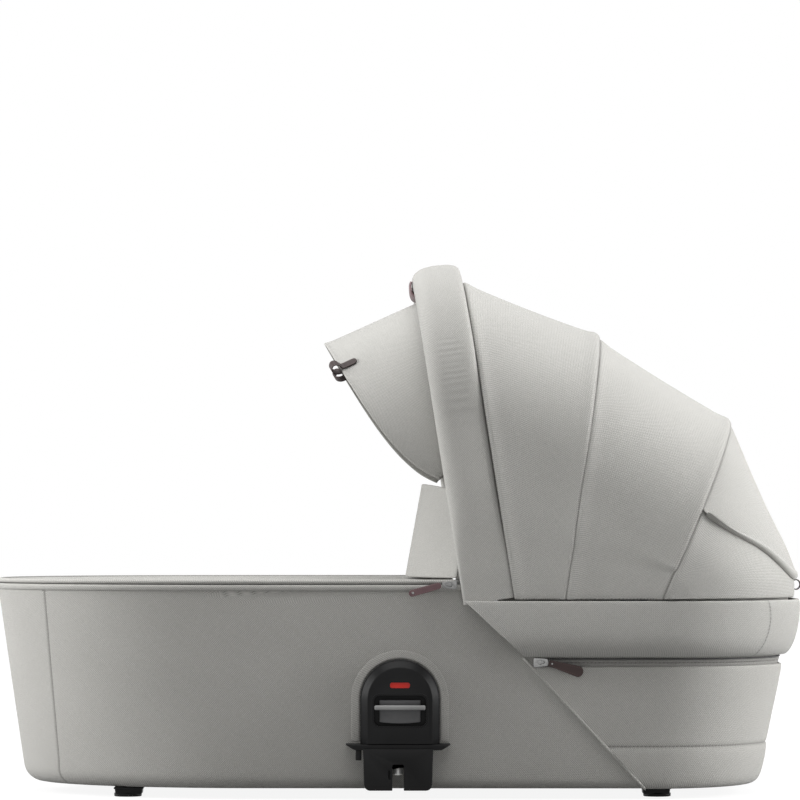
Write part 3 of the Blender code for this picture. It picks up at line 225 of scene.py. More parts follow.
def woven(name, dark, light, yarn=0.0016, fleck=0.32, sheen=0.15):
    """Melange weave: crossing yarns of mixed fibres, drawn on the piece's own map in metres."""
    material, tree, shader = new_material(name)
    place = add_node(tree, "UVMap", uv_map="cloth")[0]
    slant = add_node(tree, "Mapping", {0: place, "Rotation": (0, 0, math.radians(42))})[0]
    yarns = add_node(tree, "SeparateXYZ", {0: slant})[:2]
    ridges = [calc(tree, "ABSOLUTE", calc(tree, "SINE", calc(tree, "MULTIPLY", axis, math.pi / yarn)))
              for axis in yarns]
    checks = [calc(tree, "FLOOR", calc(tree, "MULTIPLY", axis, 1 / yarn)) for axis in yarns]
    parity = calc(tree, "MODULO", calc(tree, "ABSOLUTE", calc(tree, "ADD", *checks)), 2)
    over = add_node(tree, "Mix", {0: parity, 2: ridges[0], 3: ridges[1]})[0]
    fibres = []
    for stretch in ((2600, 190, 1), (190, 2600, 1)):
        lay = add_node(tree, "Mapping", {0: place, "Scale": stretch})[0]
        fibres.append(add_node(tree, "TexNoise", {0: lay, "Scale": 1.0, "Detail": 2.0})[0])
    mixed = calc(tree, "MULTIPLY", calc(tree, "ADD", *fibres), 0.5)
    cloud = add_node(tree, "TexNoise", {0: place, "Scale": 9.0, "Detail": 3.0})[0]
    shade = calc(tree, "ADD",
                 calc(tree, "MULTIPLY_ADD", calc(tree, "SUBTRACT", mixed, 0.5), 2.6 * fleck, 0.5),
                 calc(tree, "MULTIPLY", calc(tree, "SUBTRACT", cloud, 0.5), 0.22))
    # The yarn ridges also darken the colour between the yarns: painted shade in the weave's crevices.
    shade = calc(tree, "ADD", shade, calc(tree, "MULTIPLY", calc(tree, "SUBTRACT", over, 0.64), 0.85))
    # Along each seam mark the colour is multiplied toward the seam colour in dashes: stitching thread and
    # painted shade in the seam groove.
    waves = [calc(tree, "SINE", calc(tree, "MULTIPLY", axis, 2 * math.pi / stitch_pitch))
             for axis in add_node(tree, "SeparateXYZ", {0: place})[:2]]
    gaps = calc(tree, "MULTIPLY_ADD", calc(tree, "GREATER_THAN", calc(tree, "ADD", *waves), 0.3), 0.5, 0.5)
    sewn = calc(tree, "MULTIPLY", add_node(tree, "Attribute", attribute_name="seam")["Fac"], gaps)
    colour = colour_mix(tree, "MULTIPLY", sewn, ramp(tree, shade, (0.15, dark), (0.85, light)), seam_thread_and_groove_shade)
    relief = calc(tree, "ADD", over, calc(tree, "MULTIPLY", mixed, 0.6))
    wire(tree, shader, {"Roughness": 0.92, "Sheen Weight": sheen, "Sheen Roughness": 0.6,
                        "Specular IOR Level": 0.25, "Base Color": colour,
                        "Normal": bump(tree, relief, 0.5, 0.00035)})
    return material


stitch_pitch = 0.0042
# Seam colour: dark stitching thread and painted shade in the seam grooves.
seam_thread_and_groove_shade = (0.24, 0.235, 0.23, 1)
melange_cloth = woven("melange_cloth", (0.30, 0.295, 0.275), (0.62, 0.61, 0.58))


def dress(piece, material, body, slot, *nodes):
    """Give a piece the given finish, if any, attach it to its body and hide the nodes it stands for. The
    slot is not used.
    """
    if material:
        piece.data.materials.clear()
        piece.data.materials.append(material)
    if body:
        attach(piece, body)
    if nodes:
        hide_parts(*nodes)
    return piece


seam_reach = 0.55


def split_quarter(start, seam, steps=9):
    """Angles of one corner with a close group of them at a seam."""
    low, high = start + 0.01, start + 89.99
    before = [low + (seam - seam_reach - low) * step / steps for step in range(steps)]
    group = [seam + seam_reach * part for part in (-1, -0.5, 0, 0.5, 1)]
    return before + group + [seam + seam_reach + (high - seam - seam_reach) * step / steps
                             for step in range(1, steps + 1)]


def seam_mark(distance, width=seam_half_width):
    return max(0.0, 1 - abs(distance) / width)


# Each row's turn round the bottom edge in degrees, its height and how far it lies inside the
# outline.
wall_bottom, cover_top = bottom_z + bottom_round, top_z + 0.004
cover_steps = [(0, bottom_z, 0.05)] + [(turn, bottom_z, 0) for turn in (0, 18, 36, 54, 72, 90)]
cover_steps += [(90, wall_bottom + (cover_top - wall_bottom) * step / 15, 0) for step in range(1, 16)]
arc_of_degree = 0.0042
cover_rows, cover_marks = [], []
for turn, z, inner in cover_steps:
    seam = foot_seam_top + (foot_seam_bottom - foot_seam_top) * fall(z)
    row, marks = [], []
    for angle in (quarter(0) + split_quarter(90, 90 + seam) + split_quarter(180, 270 - seam)
                  + quarter(270)):
        mark = seam_mark(min(abs(angle - 90 - seam), abs(angle - 270 + seam)) * arc_of_degree, 0.0016)
        end = 0.5 + ring_point(z, angle).x / (2 * head_reach)
        radius = foot_round + (bottom_round - foot_round) * min(max(end, 0), 1) ** 0.5
        sunk = radius * (1 - math.sin(math.radians(turn))) + inner + seam_depth * mark
        level = max(z, bottom_z + radius * (1 - math.cos(math.radians(turn))))
        row.append(ring_point(level, angle, -sunk, -sunk))
        marks.append(mark)
    cover_rows.append(row)
    cover_marks.append(marks)
cover_rows.insert(0, [Vector((point.x * 0.8, point.y * 0.02, point.z)) for point in cover_rows[0]])
cover_marks.insert(0, [0.0] * len(cover_marks[0]))


cover = cloth_grid("tub_cover", cover_rows, closed=True, seams=cover_marks, levels=1)
mend(cover, lambda edge: edge.verts[0].co.z < 0.02)
dress(cover, melange_cloth, "tub", "melange_cloth", "outer_cover")


# Head panel. A second panel of the same cloth covers the head end below the zip. It is cut on
# the slant, its two parts meet in a level seam, and the lower part swells a little over the other.
slant_top, slant_bottom = (0.139, 0.1392), (0.247, 0.0225)
head_seam_z = 0.0548
head_panel_out = 0.0012


def slant_x(z):
    share = (slant_top[1] - z) / (slant_top[1] - slant_bottom[1])
    return slant_top[0] + (slant_bottom[0] - slant_top[0]) * share


def head_row(z, start_x, end_out, side_out, straight=8, angles=None):
    """Outline from the left side round the head end to the right side."""
    corner = [ring_point(z, angle, end_out, side_out) for angle in angles or quarter(270) + quarter(0)]
    run = [Vector((start_x + (corner[0].x - start_x) * step / straight, corner[0].y, z))
           for step in range(straight)]
    return run + corner + [Vector((point.x, -point.y, z)) for point in reversed(run)]


head_rows, head_marks = [], []
for z, out in ((0.0106, -0.0108), (0.0104, -0.0085), (0.0108, -0.0062), (0.0122, -0.0032),
               (0.0148, -0.0008), (0.0185, 0.0008), (0.0235, 0.0018), (0.032, 0.0026), (0.042, 0.003),
               (0.050, 0.0026), (0.0535, 0.0018), (head_seam_z, 0.0), (0.056, 0.001), (0.0585, 0.0012),
               (0.07, 0.0014), (0.085, 0.0016), (0.1, 0.0018), (0.115, 0.002), (0.128, 0.002),
               (0.136, 0.0017), (0.1392, 0.0012), (0.1393, -0.0012)):
    rise = min(max((z - 0.05) / 0.09, 0), 1)
    head_rows.append(head_row(z, slant_x(z), head_panel_out + out + 0.0022 * rise,
                              head_panel_out + out * 0.7))
    mark = seam_mark(z - head_seam_z, 0.0016)
    head_marks.append([mark] * len(head_rows[0]))
head_panel = cloth_grid("head_panel", head_rows, seams=head_marks, levels=1)
dress(head_panel, melange_cloth, "tub", "melange_cloth", "head_cover")


# Slanted welts. A thin roll of the cover cloth stands up along each slanted seam, sewn in between
# the tub cover and the head panel.
welt_radius, welt_out, welt_lead = 0.0016, 0.0014, 0.0012


def tube(name, path, radii, steps=10):
    """Round bead along a path, closed at its ends, with its own map in metres."""
    rows = []
    for index, (point, radius) in enumerate(zip(path, radii)):
        run = (path[min(index + 1, len(path) - 1)] - path[max(index - 1, 0)]).normalized()
        first = run.cross(Vector((0.31, 0.17, 0.93))).normalized()
        second = run.cross(first)
        turns = [2 * math.pi * step / steps for step in range(steps)]
        rows.append([point + (first * math.cos(turn) + second * math.sin(turn)) * radius
                     for turn in turns])
    piece = cloth_grid(name, [[path[0]] * steps, *rows, [path[-1]] * steps], closed=True)
    mend(piece)
    return piece


both_sides = ((-1, "left"), (1, "right"))
for side, tag in both_sides:
    places = [(0.0106, 0.0074), (0.0113, 0.0046), (0.0127, 0.0024), (0.0152, 0.0008)]
    places += [(0.0185 + (0.1487 - 0.0185) * step / 24, 0) for step in range(25)]
    welt_path = [Vector((slant_x(z) - welt_lead, side * (wall_y(z) + welt_out - sunk), z))
                 for z, sunk in places]
    welt = tube("slant_welt_" + tag, welt_path, [welt_radius] * len(welt_path))
    dress(welt, melange_cloth, "tub", "melange_cloth", "welt_" + tag)


# Rim piping. Two rolls of folded cloth run round the top of the tub, one sewn to the tub cover and
# one to the apron; the zip between them closes the apron.
piping_rows = []
for out, z in ((-0.0045, 0.2182), (-0.0004, 0.2182), (0.0011, 0.2186), (0.0019, 0.2198),
               (0.0021, 0.2215), (0.0019, 0.2232), (0.0012, 0.2245), (-0.0002, 0.2251), (-0.0045, 0.2252)):
    piping_rows.append([ring_point(z, angle, out, out) for angle in full_turn(16)])
# Its tucked rows carry the seam mark: stitching and painted shade where the piping meets the cover and the
# apron.
piping = cloth_grid("rim_piping", piping_rows, closed=True,
                    seams=[[mark] * len(piping_rows[0]) for mark in (0.9, 0.9, 0.1, 0, 0, 0, 0.1, 0.8, 1)],
                    levels=1)
dress(piping, melange_cloth, "tub", "melange_cloth", "rim_binding")


# Apron. A padded cover over the foot half of the cot, its edge rolled over a cord and zipped to
# the rim. A line of stitching inside the roll holds its filling flat.
apron_end, apron_spine_end, apron_base = 0.057, -0.33, 0.2254


def apron_row(share, z, out):
    """Half outline of the apron shrunk toward its middle line."""
    row = [ring_point(0.2145, angle, out, out) for angle in quarter(90, 18) + quarter(180, 18)]
    start, end = row[0], row[-1]
    steps = 14
    head = [Vector((apron_end + (start.x - apron_end) * step / steps, start.y, 0))
            for step in range(steps)]
    tail = [Vector((end.x + (apron_end - end.x) * (step + 1) / steps, end.y, 0))
            for step in range(steps)]
    points = []
    for point in head + row + tail:
        spine = Vector((min(max(point.x, apron_spine_end), apron_end), 0, 0))
        points.append(Vector((*point.lerp(spine, share).xy, z)))
    return points


# Each row's share of the way in, its rise over the base and how far it lies outside the outline.
apron_steps = [(0.06, 0, -0.002), (0, 0, -0.0024), (0, 0.0002, -0.0002), (0, 0.0008, 0.0012),
               (0, 0.0021, 0.002), (0, 0.0036, 0.0017), (0, 0.0048, 0.0003), (0, 0.005, -0.0022),
               (0, 0.0039, -0.0044), (0, 0.0036, -0.0052)]
apron_steps += [(share, 0.0038, -0.0052) for share in
                (0.015, 0.05, 0.1, 0.2, 0.3, 0.4, 0.5, 0.6, 0.7, 0.8, 0.9, 1.0)]
apron_rows = [apron_row(share, apron_base + rise, out) for share, rise, out in apron_steps]
# The mark on rows 7 to 9 darkens the groove inside the roll: stitching and painted shade.
apron_marks = [[{7: 0.3, 8: 1.0, 9: 0.4}.get(index, 0.0)] * len(apron_rows[0])
               for index in range(len(apron_rows))]
apron = cloth_grid("apron_cover", apron_rows, seams=apron_marks)
mend(apron, lambda edge: False)
dress(apron, melange_cloth, "tub", "hood_cloth", "apron")


# Band. A skirt of hood cloth is buttoned round the head half over the rim. It stands off the tub
# over the hood hinges, and its slanted front edge carries on the line of the welt.
band_rows, band_marks = [], []
band_bottom, band_top = 0.149, 0.2085
band_half, band_side_out, band_end_out = 0.2171, 0.0045, 0.0152
for share, side_share, end_share in ((0.03, -0.3, 0.2), (0.0, 0.0, 0.36), (0.02, 0.3, 0.55),
                                     (0.12, 0.8, 0.8), (0.28, 1.06, 0.95), (0.45, 1.12, 1.0),
                                     (0.6, 1.14, 1.0), (0.75, 1.14, 0.97), (0.88, 1.13, 0.9),
                                     (0.965, 1.12, 0.82), (1.0, 1.06, 0.74), (0.99, 0.97, 0.5)):
    z = band_bottom + (band_top - band_bottom) * min(max(share, 0), 1)
    start_x = 0.131 + (0.0665 - 0.131) * min(max(share, 0), 1)
    full = band_half - wall_y(z)
    seam = 43 + 3.0 * (4 * (share - 0.55) ** 2)
    angles = split_quarter(270, 360 - seam) + split_quarter(0, seam)
    marks = [seam_mark(min(abs(angle - 360 + seam), abs(angle - seam)) * 0.0022) for angle in angles]
    band_marks.append([0.0] * 12 + marks + [0.0] * 12)
    band_rows.append(head_row(z, start_x, band_end_out * end_share,
                              band_side_out + (full - band_side_out) * side_share, 12, angles))
band = cloth_grid("hood_skirt", band_rows, seams=band_marks, levels=1)
hood_cloth = woven("hood_cloth", (0.29, 0.286, 0.268), (0.585, 0.577, 0.55))
dress(band, hood_cloth, "tub", "hood_cloth", "hood_band")


# Hood cloth. Three panels of the same cloth are sewn together over the ribs of the hood, and the
# last one falls from the rear rib to the band round the head end.
hinge = Vector((0.167, 0, 0.183))
hood_foot = 0.2088
hood_half = 0.21659
cloth_line = (0.11997, 0.06763, 0.5495)
front_line = (0.0925, 0.037, 0.566)
mid_line = (0.1725, 0.2145, 0.4925)
rear_line = (0.2742, 0.3575, 0.4015)
hood_thick, hood_seam, hood_sink = 0.0018, 0.0018, 0.0009
ArchPlace = namedtuple("ArchPlace", "point height across outward")
arch_heel, arch_crown, arch_lean = 0.03, 0.17, 0.01


def arch(line, legs=8, crown=32):
    """Places on an arch of the hood from its left foot over to its right foot, each with its height
    up the arch and its ways along the hood and outward."""
    foot, top = Vector((line[0], 0, hood_foot)), Vector((line[1], 0, line[2]))
    length = (top - foot).length
    up = (top - foot) / length
    shoulder = length - arch_crown
    lean = arch_lean * min((shoulder - arch_heel) / 0.1615, 1) ** 0.8
    left = [(-hood_half, arch_heel * step / 2) for step in range(3)]
    left += [(-hood_half + lean * step / legs, arch_heel + (shoulder - arch_heel) * step / legs)
             for step in range(1, legs)]
    profile = list(left)
    for step in range(crown + 1):
        turn = math.pi * step / crown
        profile.append((-math.copysign((hood_half - lean) * abs(math.cos(turn)) ** 0.8, math.cos(turn)),
                        shoulder + arch_crown * math.sin(turn) ** 0.8))
    profile += [(-across, height) for across, height in reversed(left)]
    places = []
    for index, (across, height) in enumerate(profile):
        before = Vector(profile[max(index - 1, 0)])
        after = Vector(profile[min(index + 1, len(profile) - 1)])
        run = (after - before).normalized()
        places.append(ArchPlace(foot + up * height + Vector((0, across, 0)), height,
                                Vector((up.z, 0, -up.x)), Vector((0, -run.y, 0)) + up * run.x))
    return places


def ease(value):
    value = min(max(value, 0.0), 1.0)
    return value * value * (3 - 2 * value)


def panel_between(name, near_places, far_places, shares, dip, insets, roll=0.0012):
    """Hood cloth from one arch to the next, dipped at its two seams and tucked under the last."""
    rows, marks = [], []
    for share in shares:
        row, row_marks = [], []
        for near, far in zip(near_places, far_places):
            span = (far.point - near.point).length
            outward = near.outward.lerp(far.outward, share).normalized()
            edge = min(share, 1 - share) * span
            sag = -dip * 4 * share * (1 - share) * ease((near.height + 0.02) / 0.12)
            puff = roll * ease(edge / 0.004) - roll * 1.4 * ease((edge - 0.003) / 0.012) + roll * 0.4
            # The seam mark darkens the cloth where it turns in at the seam: stitching and painted shade.
            mark = seam_mark(edge, hood_seam)
            tuck = (insets[0] + (insets[1] - insets[0]) * share) * ease((near.height - 0.1) / 0.2)
            row.append(near.point.lerp(far.point, share)
                       + outward * (sag + puff * (1 - mark) - hood_sink * mark - tuck
                                    - 0.0021 * (1 - ease((near.height - 0.035) / 0.05))))
            row_marks.append(mark)
        rows.append(row)
        marks.append(row_marks)
    return cloth_grid(name, rows, seams=marks, thickness=hood_thick, levels=1)


panel_shares = (0.0, 0.006, 0.016, 0.03, 0.05, 0.08, 0.13, 0.2, 0.3, 0.42, 0.54, 0.66, 0.77, 0.85, 0.91,
                0.95, 0.972, 0.985, 0.994, 1.0)
mid_places, rear_places = arch(mid_line), arch(rear_line)
front_panel = panel_between("hood_front_panel", arch(cloth_line), mid_places, panel_shares, 0.002,
                            (0.0008, 0.0004))
mid_panel = panel_between("hood_mid_panel", mid_places, rear_places, panel_shares, 0.0015,
                          (0.0052, 0.0026))
for piece, node in ((front_panel, "hood_panel_front"), (mid_panel, "hood_panel_mid")):
    dress(piece, hood_cloth, None, "hood_cloth", node)


# Rear panel. The hood's back runs from the rear rib down to the head end and tucks under the band.
rear_end_out, bend_share = 0.0038, 0.9


def rear_edge(z):
    """Places round the head end at a height, one for each place of the rear arch."""
    path = head_row(z, 0.2782, rear_end_out, hood_half - wall_y(z), 3)
    lengths, ribs = distances(path), distances([place.point for place in rear_places])
    places = []
    for rib in ribs:
        wanted = lengths[-1] * rib / ribs[-1]
        index = max(i for i in range(len(path) - 1) if lengths[i] <= wanted + 1e-9)
        part = (wanted - lengths[index]) / (lengths[index + 1] - lengths[index])
        places.append(path[index].lerp(path[index + 1], part))
    return places


rear_feet = rear_edge(0.2102)
rear_bends = [foot.lerp(bend, ease((rib.point.z - hood_foot) / 0.09))
              for foot, bend, rib in zip(rear_feet, rear_edge(0.2334), rear_places)]


def rear_way(index):
    """Outward direction of the rear cloth halfway down."""
    low, high = max(index - 1, 0), min(index + 1, len(rear_places) - 1)
    along = (rear_places[high].point + rear_bends[high]) - (rear_places[low].point + rear_bends[low])
    down = rear_bends[index] - rear_places[index].point
    way = down.cross(along).normalized()
    return way if way.dot(rear_places[index].point - hinge) > 0 else -way


rear_ways = [rear_way(index) for index in range(len(rear_places))]


def rear_point(index, share, lift=0.0):
    """Point of the rear cloth: rib at 0, bend over the rim at 0.9, foot at 1."""
    top, bend, foot = rear_places[index], rear_bends[index], rear_feet[index]
    place = top.point.lerp(bend, min(share, 0.66) / bend_share)
    if share > 0.66:
        turn = (share - 0.66) / 0.34
        place = place.lerp(bend, turn).lerp(bend.lerp(foot, turn), turn)
    way = top.outward.lerp(rear_ways[index], ease(share / 0.25)).normalized()
    down = min(share / bend_share, 1)
    tuck = (0.0062 - 0.0012 * down) * ease((1 - down) / 0.5) * ease((top.height - 0.05) / 0.08)
    return place + way * (lift - tuck)


rear_rows, rear_marks = [], []
for share in (0.0, 0.01, 0.022, 0.04, 0.07, 0.12, 0.2, 0.3, 0.4, 0.5, 0.6, 0.7, 0.8, 0.86, 0.872,
              0.884, bend_share, 0.93, 0.965, 1.0):
    row, marks = [], []
    for index in range(len(rear_places)):
        span = (rear_bends[index] - rear_places[index].point).length
        edge = share / bend_share * span
        # The seam mark darkens the cloth where it turns in at the seam: stitching and painted shade.
        mark = seam_mark(edge, hood_seam)
        lift = 0.0012 * ease(edge / 0.004) - 0.0012 * ease((edge - 0.003) / 0.012)
        row.append(rear_point(index, share, lift * (1 - mark) - hood_sink * mark))
        marks.append(mark)
    rear_rows.append(row)
    rear_marks.append(marks)
rear_panel = cloth_grid("hood_rear_panel", rear_rows, seams=rear_marks, thickness=hood_thick, levels=1)
dress(rear_panel, hood_cloth, None, "hood_cloth", "hood_panel_rear")


# Rear flap. A second layer covers the vent in the back of the hood. Its free edge is rolled round a
# cord and slopes down to the head end, where a thin leather loop holds it.
hem_start, hem_end = (0.312, 0.303), (0.424, 0.235)


def hem_share(index):
    """How far down the rear cloth the hem crosses."""
    top, bend = rear_places[index].point, rear_bends[index]
    slope = (hem_end[1] - hem_start[1]) / (hem_end[0] - hem_start[0])
    top_over = top.z - hem_start[1] - slope * (top.x - hem_start[0])
    bend_over = bend.z - hem_start[1] - slope * (bend.x - hem_start[0])
    share = bend_share * min(max(top_over / (top_over - bend_over), 0.035), 0.97)
    return share - 0.05 * math.sin(math.pi * ease((top.z - hem_start[1] + 0.005) / 0.09)) * share


flap_first = next(index for index, place in enumerate(rear_places) if place.point.z > 0.2985)
flap_columns = range(flap_first, len(rear_places) - flap_first)
flap_rows = []
for row_share, lift in ((0.0, 0.0012), (0.03, 0.0026), (0.1, 0.0032), (0.25, 0.0034), (0.4, 0.0035),
                        (0.55, 0.0036), (0.7, 0.0037), (0.82, 0.0038), (0.9, 0.0036), (0.955, 0.0036),
                        (0.972, 0.0056), (0.99, 0.0062), (1.008, 0.005), (1.012, 0.0026), (0.998, 0.0014)):
    flap_rows.append([rear_point(index, row_share * hem_share(index), lift) for index in flap_columns])
flap = cloth_grid("vent_flap", flap_rows, thickness=0.0012, levels=1)
dress(flap, hood_cloth, None, "hood_cloth", "rear_flap")


# Front bow. A padded sleeve of hood cloth is zipped round the bow tube and gathered where it bends
# over the top. The bow is also the handle that the cot is carried by.
sleeve_half, sleeve_thin, sleeve_thick, sleeve_proud = 0.0265, 0.0095, 0.026, 0.0012
sleeve_columns = ((-1.0, 0.62), (-0.985, 0.42), (-0.9, 0.22), (-0.7, 0.085), (-0.4, 0.01), (-0.05, -0.02),
                  (0.3, 0.0), (0.6, 0.03), (0.84, 0.085), (0.965, 0.18), (1.0, 0.34), (1.0, 0.75),
                  (0.97, 0.9), (0.85, 1.0), (0.5, 1.03), (0.0, 1.04), (-0.5, 1.03), (-0.85, 1.0),
                  (-0.97, 0.9), (-1.0, 0.7))
front_places = arch(front_line, 24, 200)
sleeve_rows = []
for number, place in enumerate(front_places):
    leg = ease((place.height - 0.03) / 0.09)
    thick = sleeve_thin + (sleeve_thick - sleeve_thin) * leg
    gather = ease((place.height - 0.165) / 0.04) * (1 - ease((place.height - 0.26) / 0.035))
    ripple = 0.00052 * math.sin(number * 2.7 + 0.9 * math.sin(number * 0.31)) * gather
    row = []
    for along, depth in sleeve_columns:
        if depth < 0.62:
            depth = depth * (0.55 + 0.45 * leg)
        valley = ease((place.height - 0.12) / 0.08) * (1 - ease((place.height - 0.33) / 0.05))
        crown = 0.0016 * (1 - along * along) * leg * (1 if depth < 0.5 else -1)
        crown -= 0.0022 * valley * math.exp(-((along - 0.1) / 0.28) ** 2) * (depth < 0.5)
        crown += ripple * max(0, 1 - (along / 0.8) ** 2) * (depth < 0.5)
        out = sleeve_proud * leg - thick * depth + crown
        row.append(place.point + place.across * sleeve_half * along + place.outward * out)
    sleeve_rows.append(row)
for end, place in ((0, front_places[0]), (-1, front_places[-1])):
    foot = [point - Vector((0, 0, 0.001)) for point in sleeve_rows[end]]
    seat = place.point - place.outward * 0.006 - Vector((0, 0, 0.001))
    inside = [point.lerp(seat, 0.75) for point in foot]
    for row in (foot, [point.copy() for point in foot], inside):
        sleeve_rows.insert(0 if end == 0 else len(sleeve_rows), row)
sleeve = cloth_grid("bow_sleeve", sleeve_rows, closed=True, levels=1)
mend(sleeve)
dress(sleeve, hood_cloth, "front_bow", "hood_cloth", "front_bow_sleeve")


# Sun visor. A light panel of the hood cloth is zipped to the front bow, and a spring wire sewn into
# its hem keeps its edge curved.
visor_hinge = Vector((0.051, 0, 0.335))
visor_half, visor_reach = 0.18209, 0.199
visor_low, visor_middle, visor_sweep = 97.0, 114.2, 34.4


def visor_point(sweep_share, row_share, depth=0.0):
    """Point of the visor across its arch and from its rear edge to its front edge."""
    sweep = math.radians(0.6 + 178.8 * sweep_share)
    across = -(visor_half - depth) * math.copysign(abs(math.cos(sweep)) ** 0.8, math.cos(sweep))
    reach = (visor_reach - depth) * math.sin(sweep) ** 0.8
    turn = math.radians(visor_low + visor_sweep * row_share)
    droop = 0.019 * row_share * math.sin(math.pi * min(reach / visor_reach, 1) ** 0.6)
    reach *= math.cos(math.radians(visor_sweep / 2)) / math.cos(turn - math.radians(visor_middle))
    return visor_hinge + Vector((reach * math.cos(turn) - droop * math.sin(turn), across,
                                 reach * math.sin(turn) + droop * math.cos(turn)))


visor_steps = [(share, 0) for share in (0.0, 0.03, 0.1, 0.2, 0.32, 0.45, 0.58, 0.7, 0.8, 0.88)]
visor_steps += [(0.94, 0.0001), (0.975, 0.0004), (0.99, 0.0009), (1.0, 0.0012), (1.009, 0.0011),
                (1.016, 0.0004)]
visor_rows = [[visor_point(step / 56, row_share, -lift) for step in range(57)]
              for row_share, lift in visor_steps]
visor = cloth_grid("sun_visor", visor_rows, thickness=hood_thick, levels=1)
dress(visor, hood_cloth, "visor", "hood_cloth", "visor_panel", "visor_wire")


# Wind flap. A stiffened flap of hood cloth stands up at the head edge of the apron and curves back
# toward the hood at its sides.
flap_foot = Vector((0.0085, 0, 0.2312))
wind_half = 0.17809
wind_rows = []
for row_share in (0.0, 0.02, 0.06, 0.12, 0.25, 0.4, 0.55, 0.7, 0.82, 0.9, 0.935, 0.955, 0.975, 0.99, 1.0):
    row = []
    for step in range(65):
        share = step / 32 - 1
        height = (0.1 - 0.012 * abs(share) ** 3) * row_share
        corner = 0.003 * max(0.0, (abs(share) - 0.97) / 0.03) ** 2 * ease((row_share - 0.9) / 0.1)
        row.append(Vector((flap_foot.x + 0.0525 * abs(share) ** 2.6 + 0.018 * row_share,
                           wind_half * share, flap_foot.z + height - corner)))
    wind_rows.append(row)
wind_flap = cloth_grid("wind_guard", wind_rows, thickness=0.0028, levels=1)
dress(wind_flap, hood_cloth, "flap", "hood_cloth", "wind_flap")


# Adapter surround. The cover is drawn up over a soft ring round each adapter, so that it swells
# there and falls back to the wall.
def arch_path(half, top_z, foot_z, steps=40):
    """Places and outward directions of an upright arch, in side view, from foot to foot."""
    centre = top_z - half
    places = [((half, foot_z + (centre - foot_z) * step / 8), (1.0, 0.0)) for step in range(8)]
    for step in range(steps + 1):
        turn = math.pi * step / steps
        places.append(((half * math.cos(turn), centre + half * math.sin(turn)),
                       (math.cos(turn), math.sin(turn))))
    return places + [((-x, z), (-1.0, 0.0)) for (x, z), way in reversed(places[:8])]


ring_half, ring_top, ring_foot = 0.0418, 0.1475, 0.0615
for side, tag in both_sides:
    ring_rows, ring_marks = [], []
    for out, height in ((0.0098, -0.0005), (0.0088, 0.0002), (0.0072, 0.0004), (0.0054, 0.0007),
                        (0.0036, 0.001), (0.002, 0.0013), (0.0008, 0.0013), (0.0, 0.0006),
                        (-0.0012, -0.0002)):
        row = []
        for (x, z), (way_x, way_z) in arch_path(ring_half, ring_top, ring_foot):
            height_here = height * (0.55 + 0.45 * ease((z - 0.06) / 0.05))
            place_z = z + way_z * out
            row.append(Vector((x + way_x * out, side * (wall_y(place_z) + height_here), place_z)))
        ring_rows.append(row)
        # The inner rows at the housing's edge are marked darker: a seam line and painted shade under the
        # housing.
        ring_marks.append([0.55 if out < 0.0005 else 0.0] * len(row))
    if side > 0:
        ring_rows, ring_marks = ring_rows[::-1], ring_marks[::-1]
    ring = cloth_grid("adapter_ring_" + tag, ring_rows, seams=ring_marks, levels=1)
    dress(ring, melange_cloth, "tub", "melange_cloth", "adapter_surround_" + tag)


# Adapter housing. A moulded arch of dark glossy plastic, its edge falling back to the cover, with
# a rounded window for the lever and a small one for the red flag. The place below is left bare.
def moulded(name, dark, light, roughness=0.38, grain=900.0, relief=0.04, worn=0.03, specular=0.3,
            metal=0.0):
    """Moulded plastic: fine spark grain, a slow change of tone and paler worn edges."""
    material, tree, shader = new_material(name)
    place = add_node(tree, "TexCoord")["Object"]
    fine = add_node(tree, "TexNoise", {0: place, "Scale": grain, "Detail": 3.0})[0]
    slow = add_node(tree, "TexNoise", {0: place, "Scale": 38.0, "Detail": 4.0})[0]
    edges = mapped(tree, add_node(tree, "NewGeometry")["Pointiness"], 0.53, 0.62, 0, worn)
    wire(tree, shader, {
        "Specular IOR Level": specular, "Metallic": metal,
        "Base Color": colour_mix(tree, "ADD", 1.0, ramp(tree, slow, (0.3, dark), (0.7, light)), edges),
        "Roughness": mapped(tree, slow, 0, 1, roughness - 0.07, roughness + 0.09),
        "Normal": bump(tree, fine, relief, 0.0004)})
    return material


dark_plastic = moulded("dark_plastic", (0.0035, 0.0035, 0.0038), (0.0065, 0.0065, 0.0068), 0.36,
                       worn=0.012, specular=0.12)


def begin(primitive, **place):
    """Add a primitive, its size and place kept in its mesh."""
    bpy.ops.object.select_all(action="DESELECT")
    primitive(**place)
    bpy.ops.object.transform_apply(location=True, rotation=True, scale=True)
    return bpy.context.object


def drum(radius, depth, place, vertices=32, **turn):
    return begin(bpy.ops.mesh.primitive_cylinder_add, vertices=vertices, radius=radius, depth=depth,
                 location=place, **turn)


def side_box(name, x0, x1, side, y0, y1, z0, z1):
    """Box on one side of the cot, from its inner to its outer place."""
    spans = ((x0, x1), sorted((side * y0, side * y1)), (z0, z1))
    piece = begin(bpy.ops.mesh.primitive_cube_add, size=1, location=[(a + b) / 2 for a, b in spans],
                  scale=[b - a for a, b in spans])
    piece.name = name
    return piece


def edit(piece, domain, picked, *changes):
    """Run edit-mode operators, each with its settings, on the picked parts of a piece."""
    pick(piece)
    bpy.ops.object.mode_set(mode="EDIT")
    bpy.ops.mesh.select_mode(type=domain)
    bpy.ops.mesh.select_all(action="DESELECT")
    shape = bmesh.from_edit_mesh(piece.data)
    for part in {"VERT": shape.verts, "EDGE": shape.edges, "FACE": shape.faces}[domain]:
        part.select_set(bool(picked(part)))
    shape.select_flush_mode()
    bmesh.update_edit_mesh(piece.data)
    for operator, settings in changes:
        operator(**settings)
    bpy.ops.object.mode_set(mode="OBJECT")


def squeeze(piece, value, centre, picked=lambda vertex: True):
    edit(piece, "VERT", picked, (bpy.ops.transform.resize, {"value": value, "center_override": centre}))


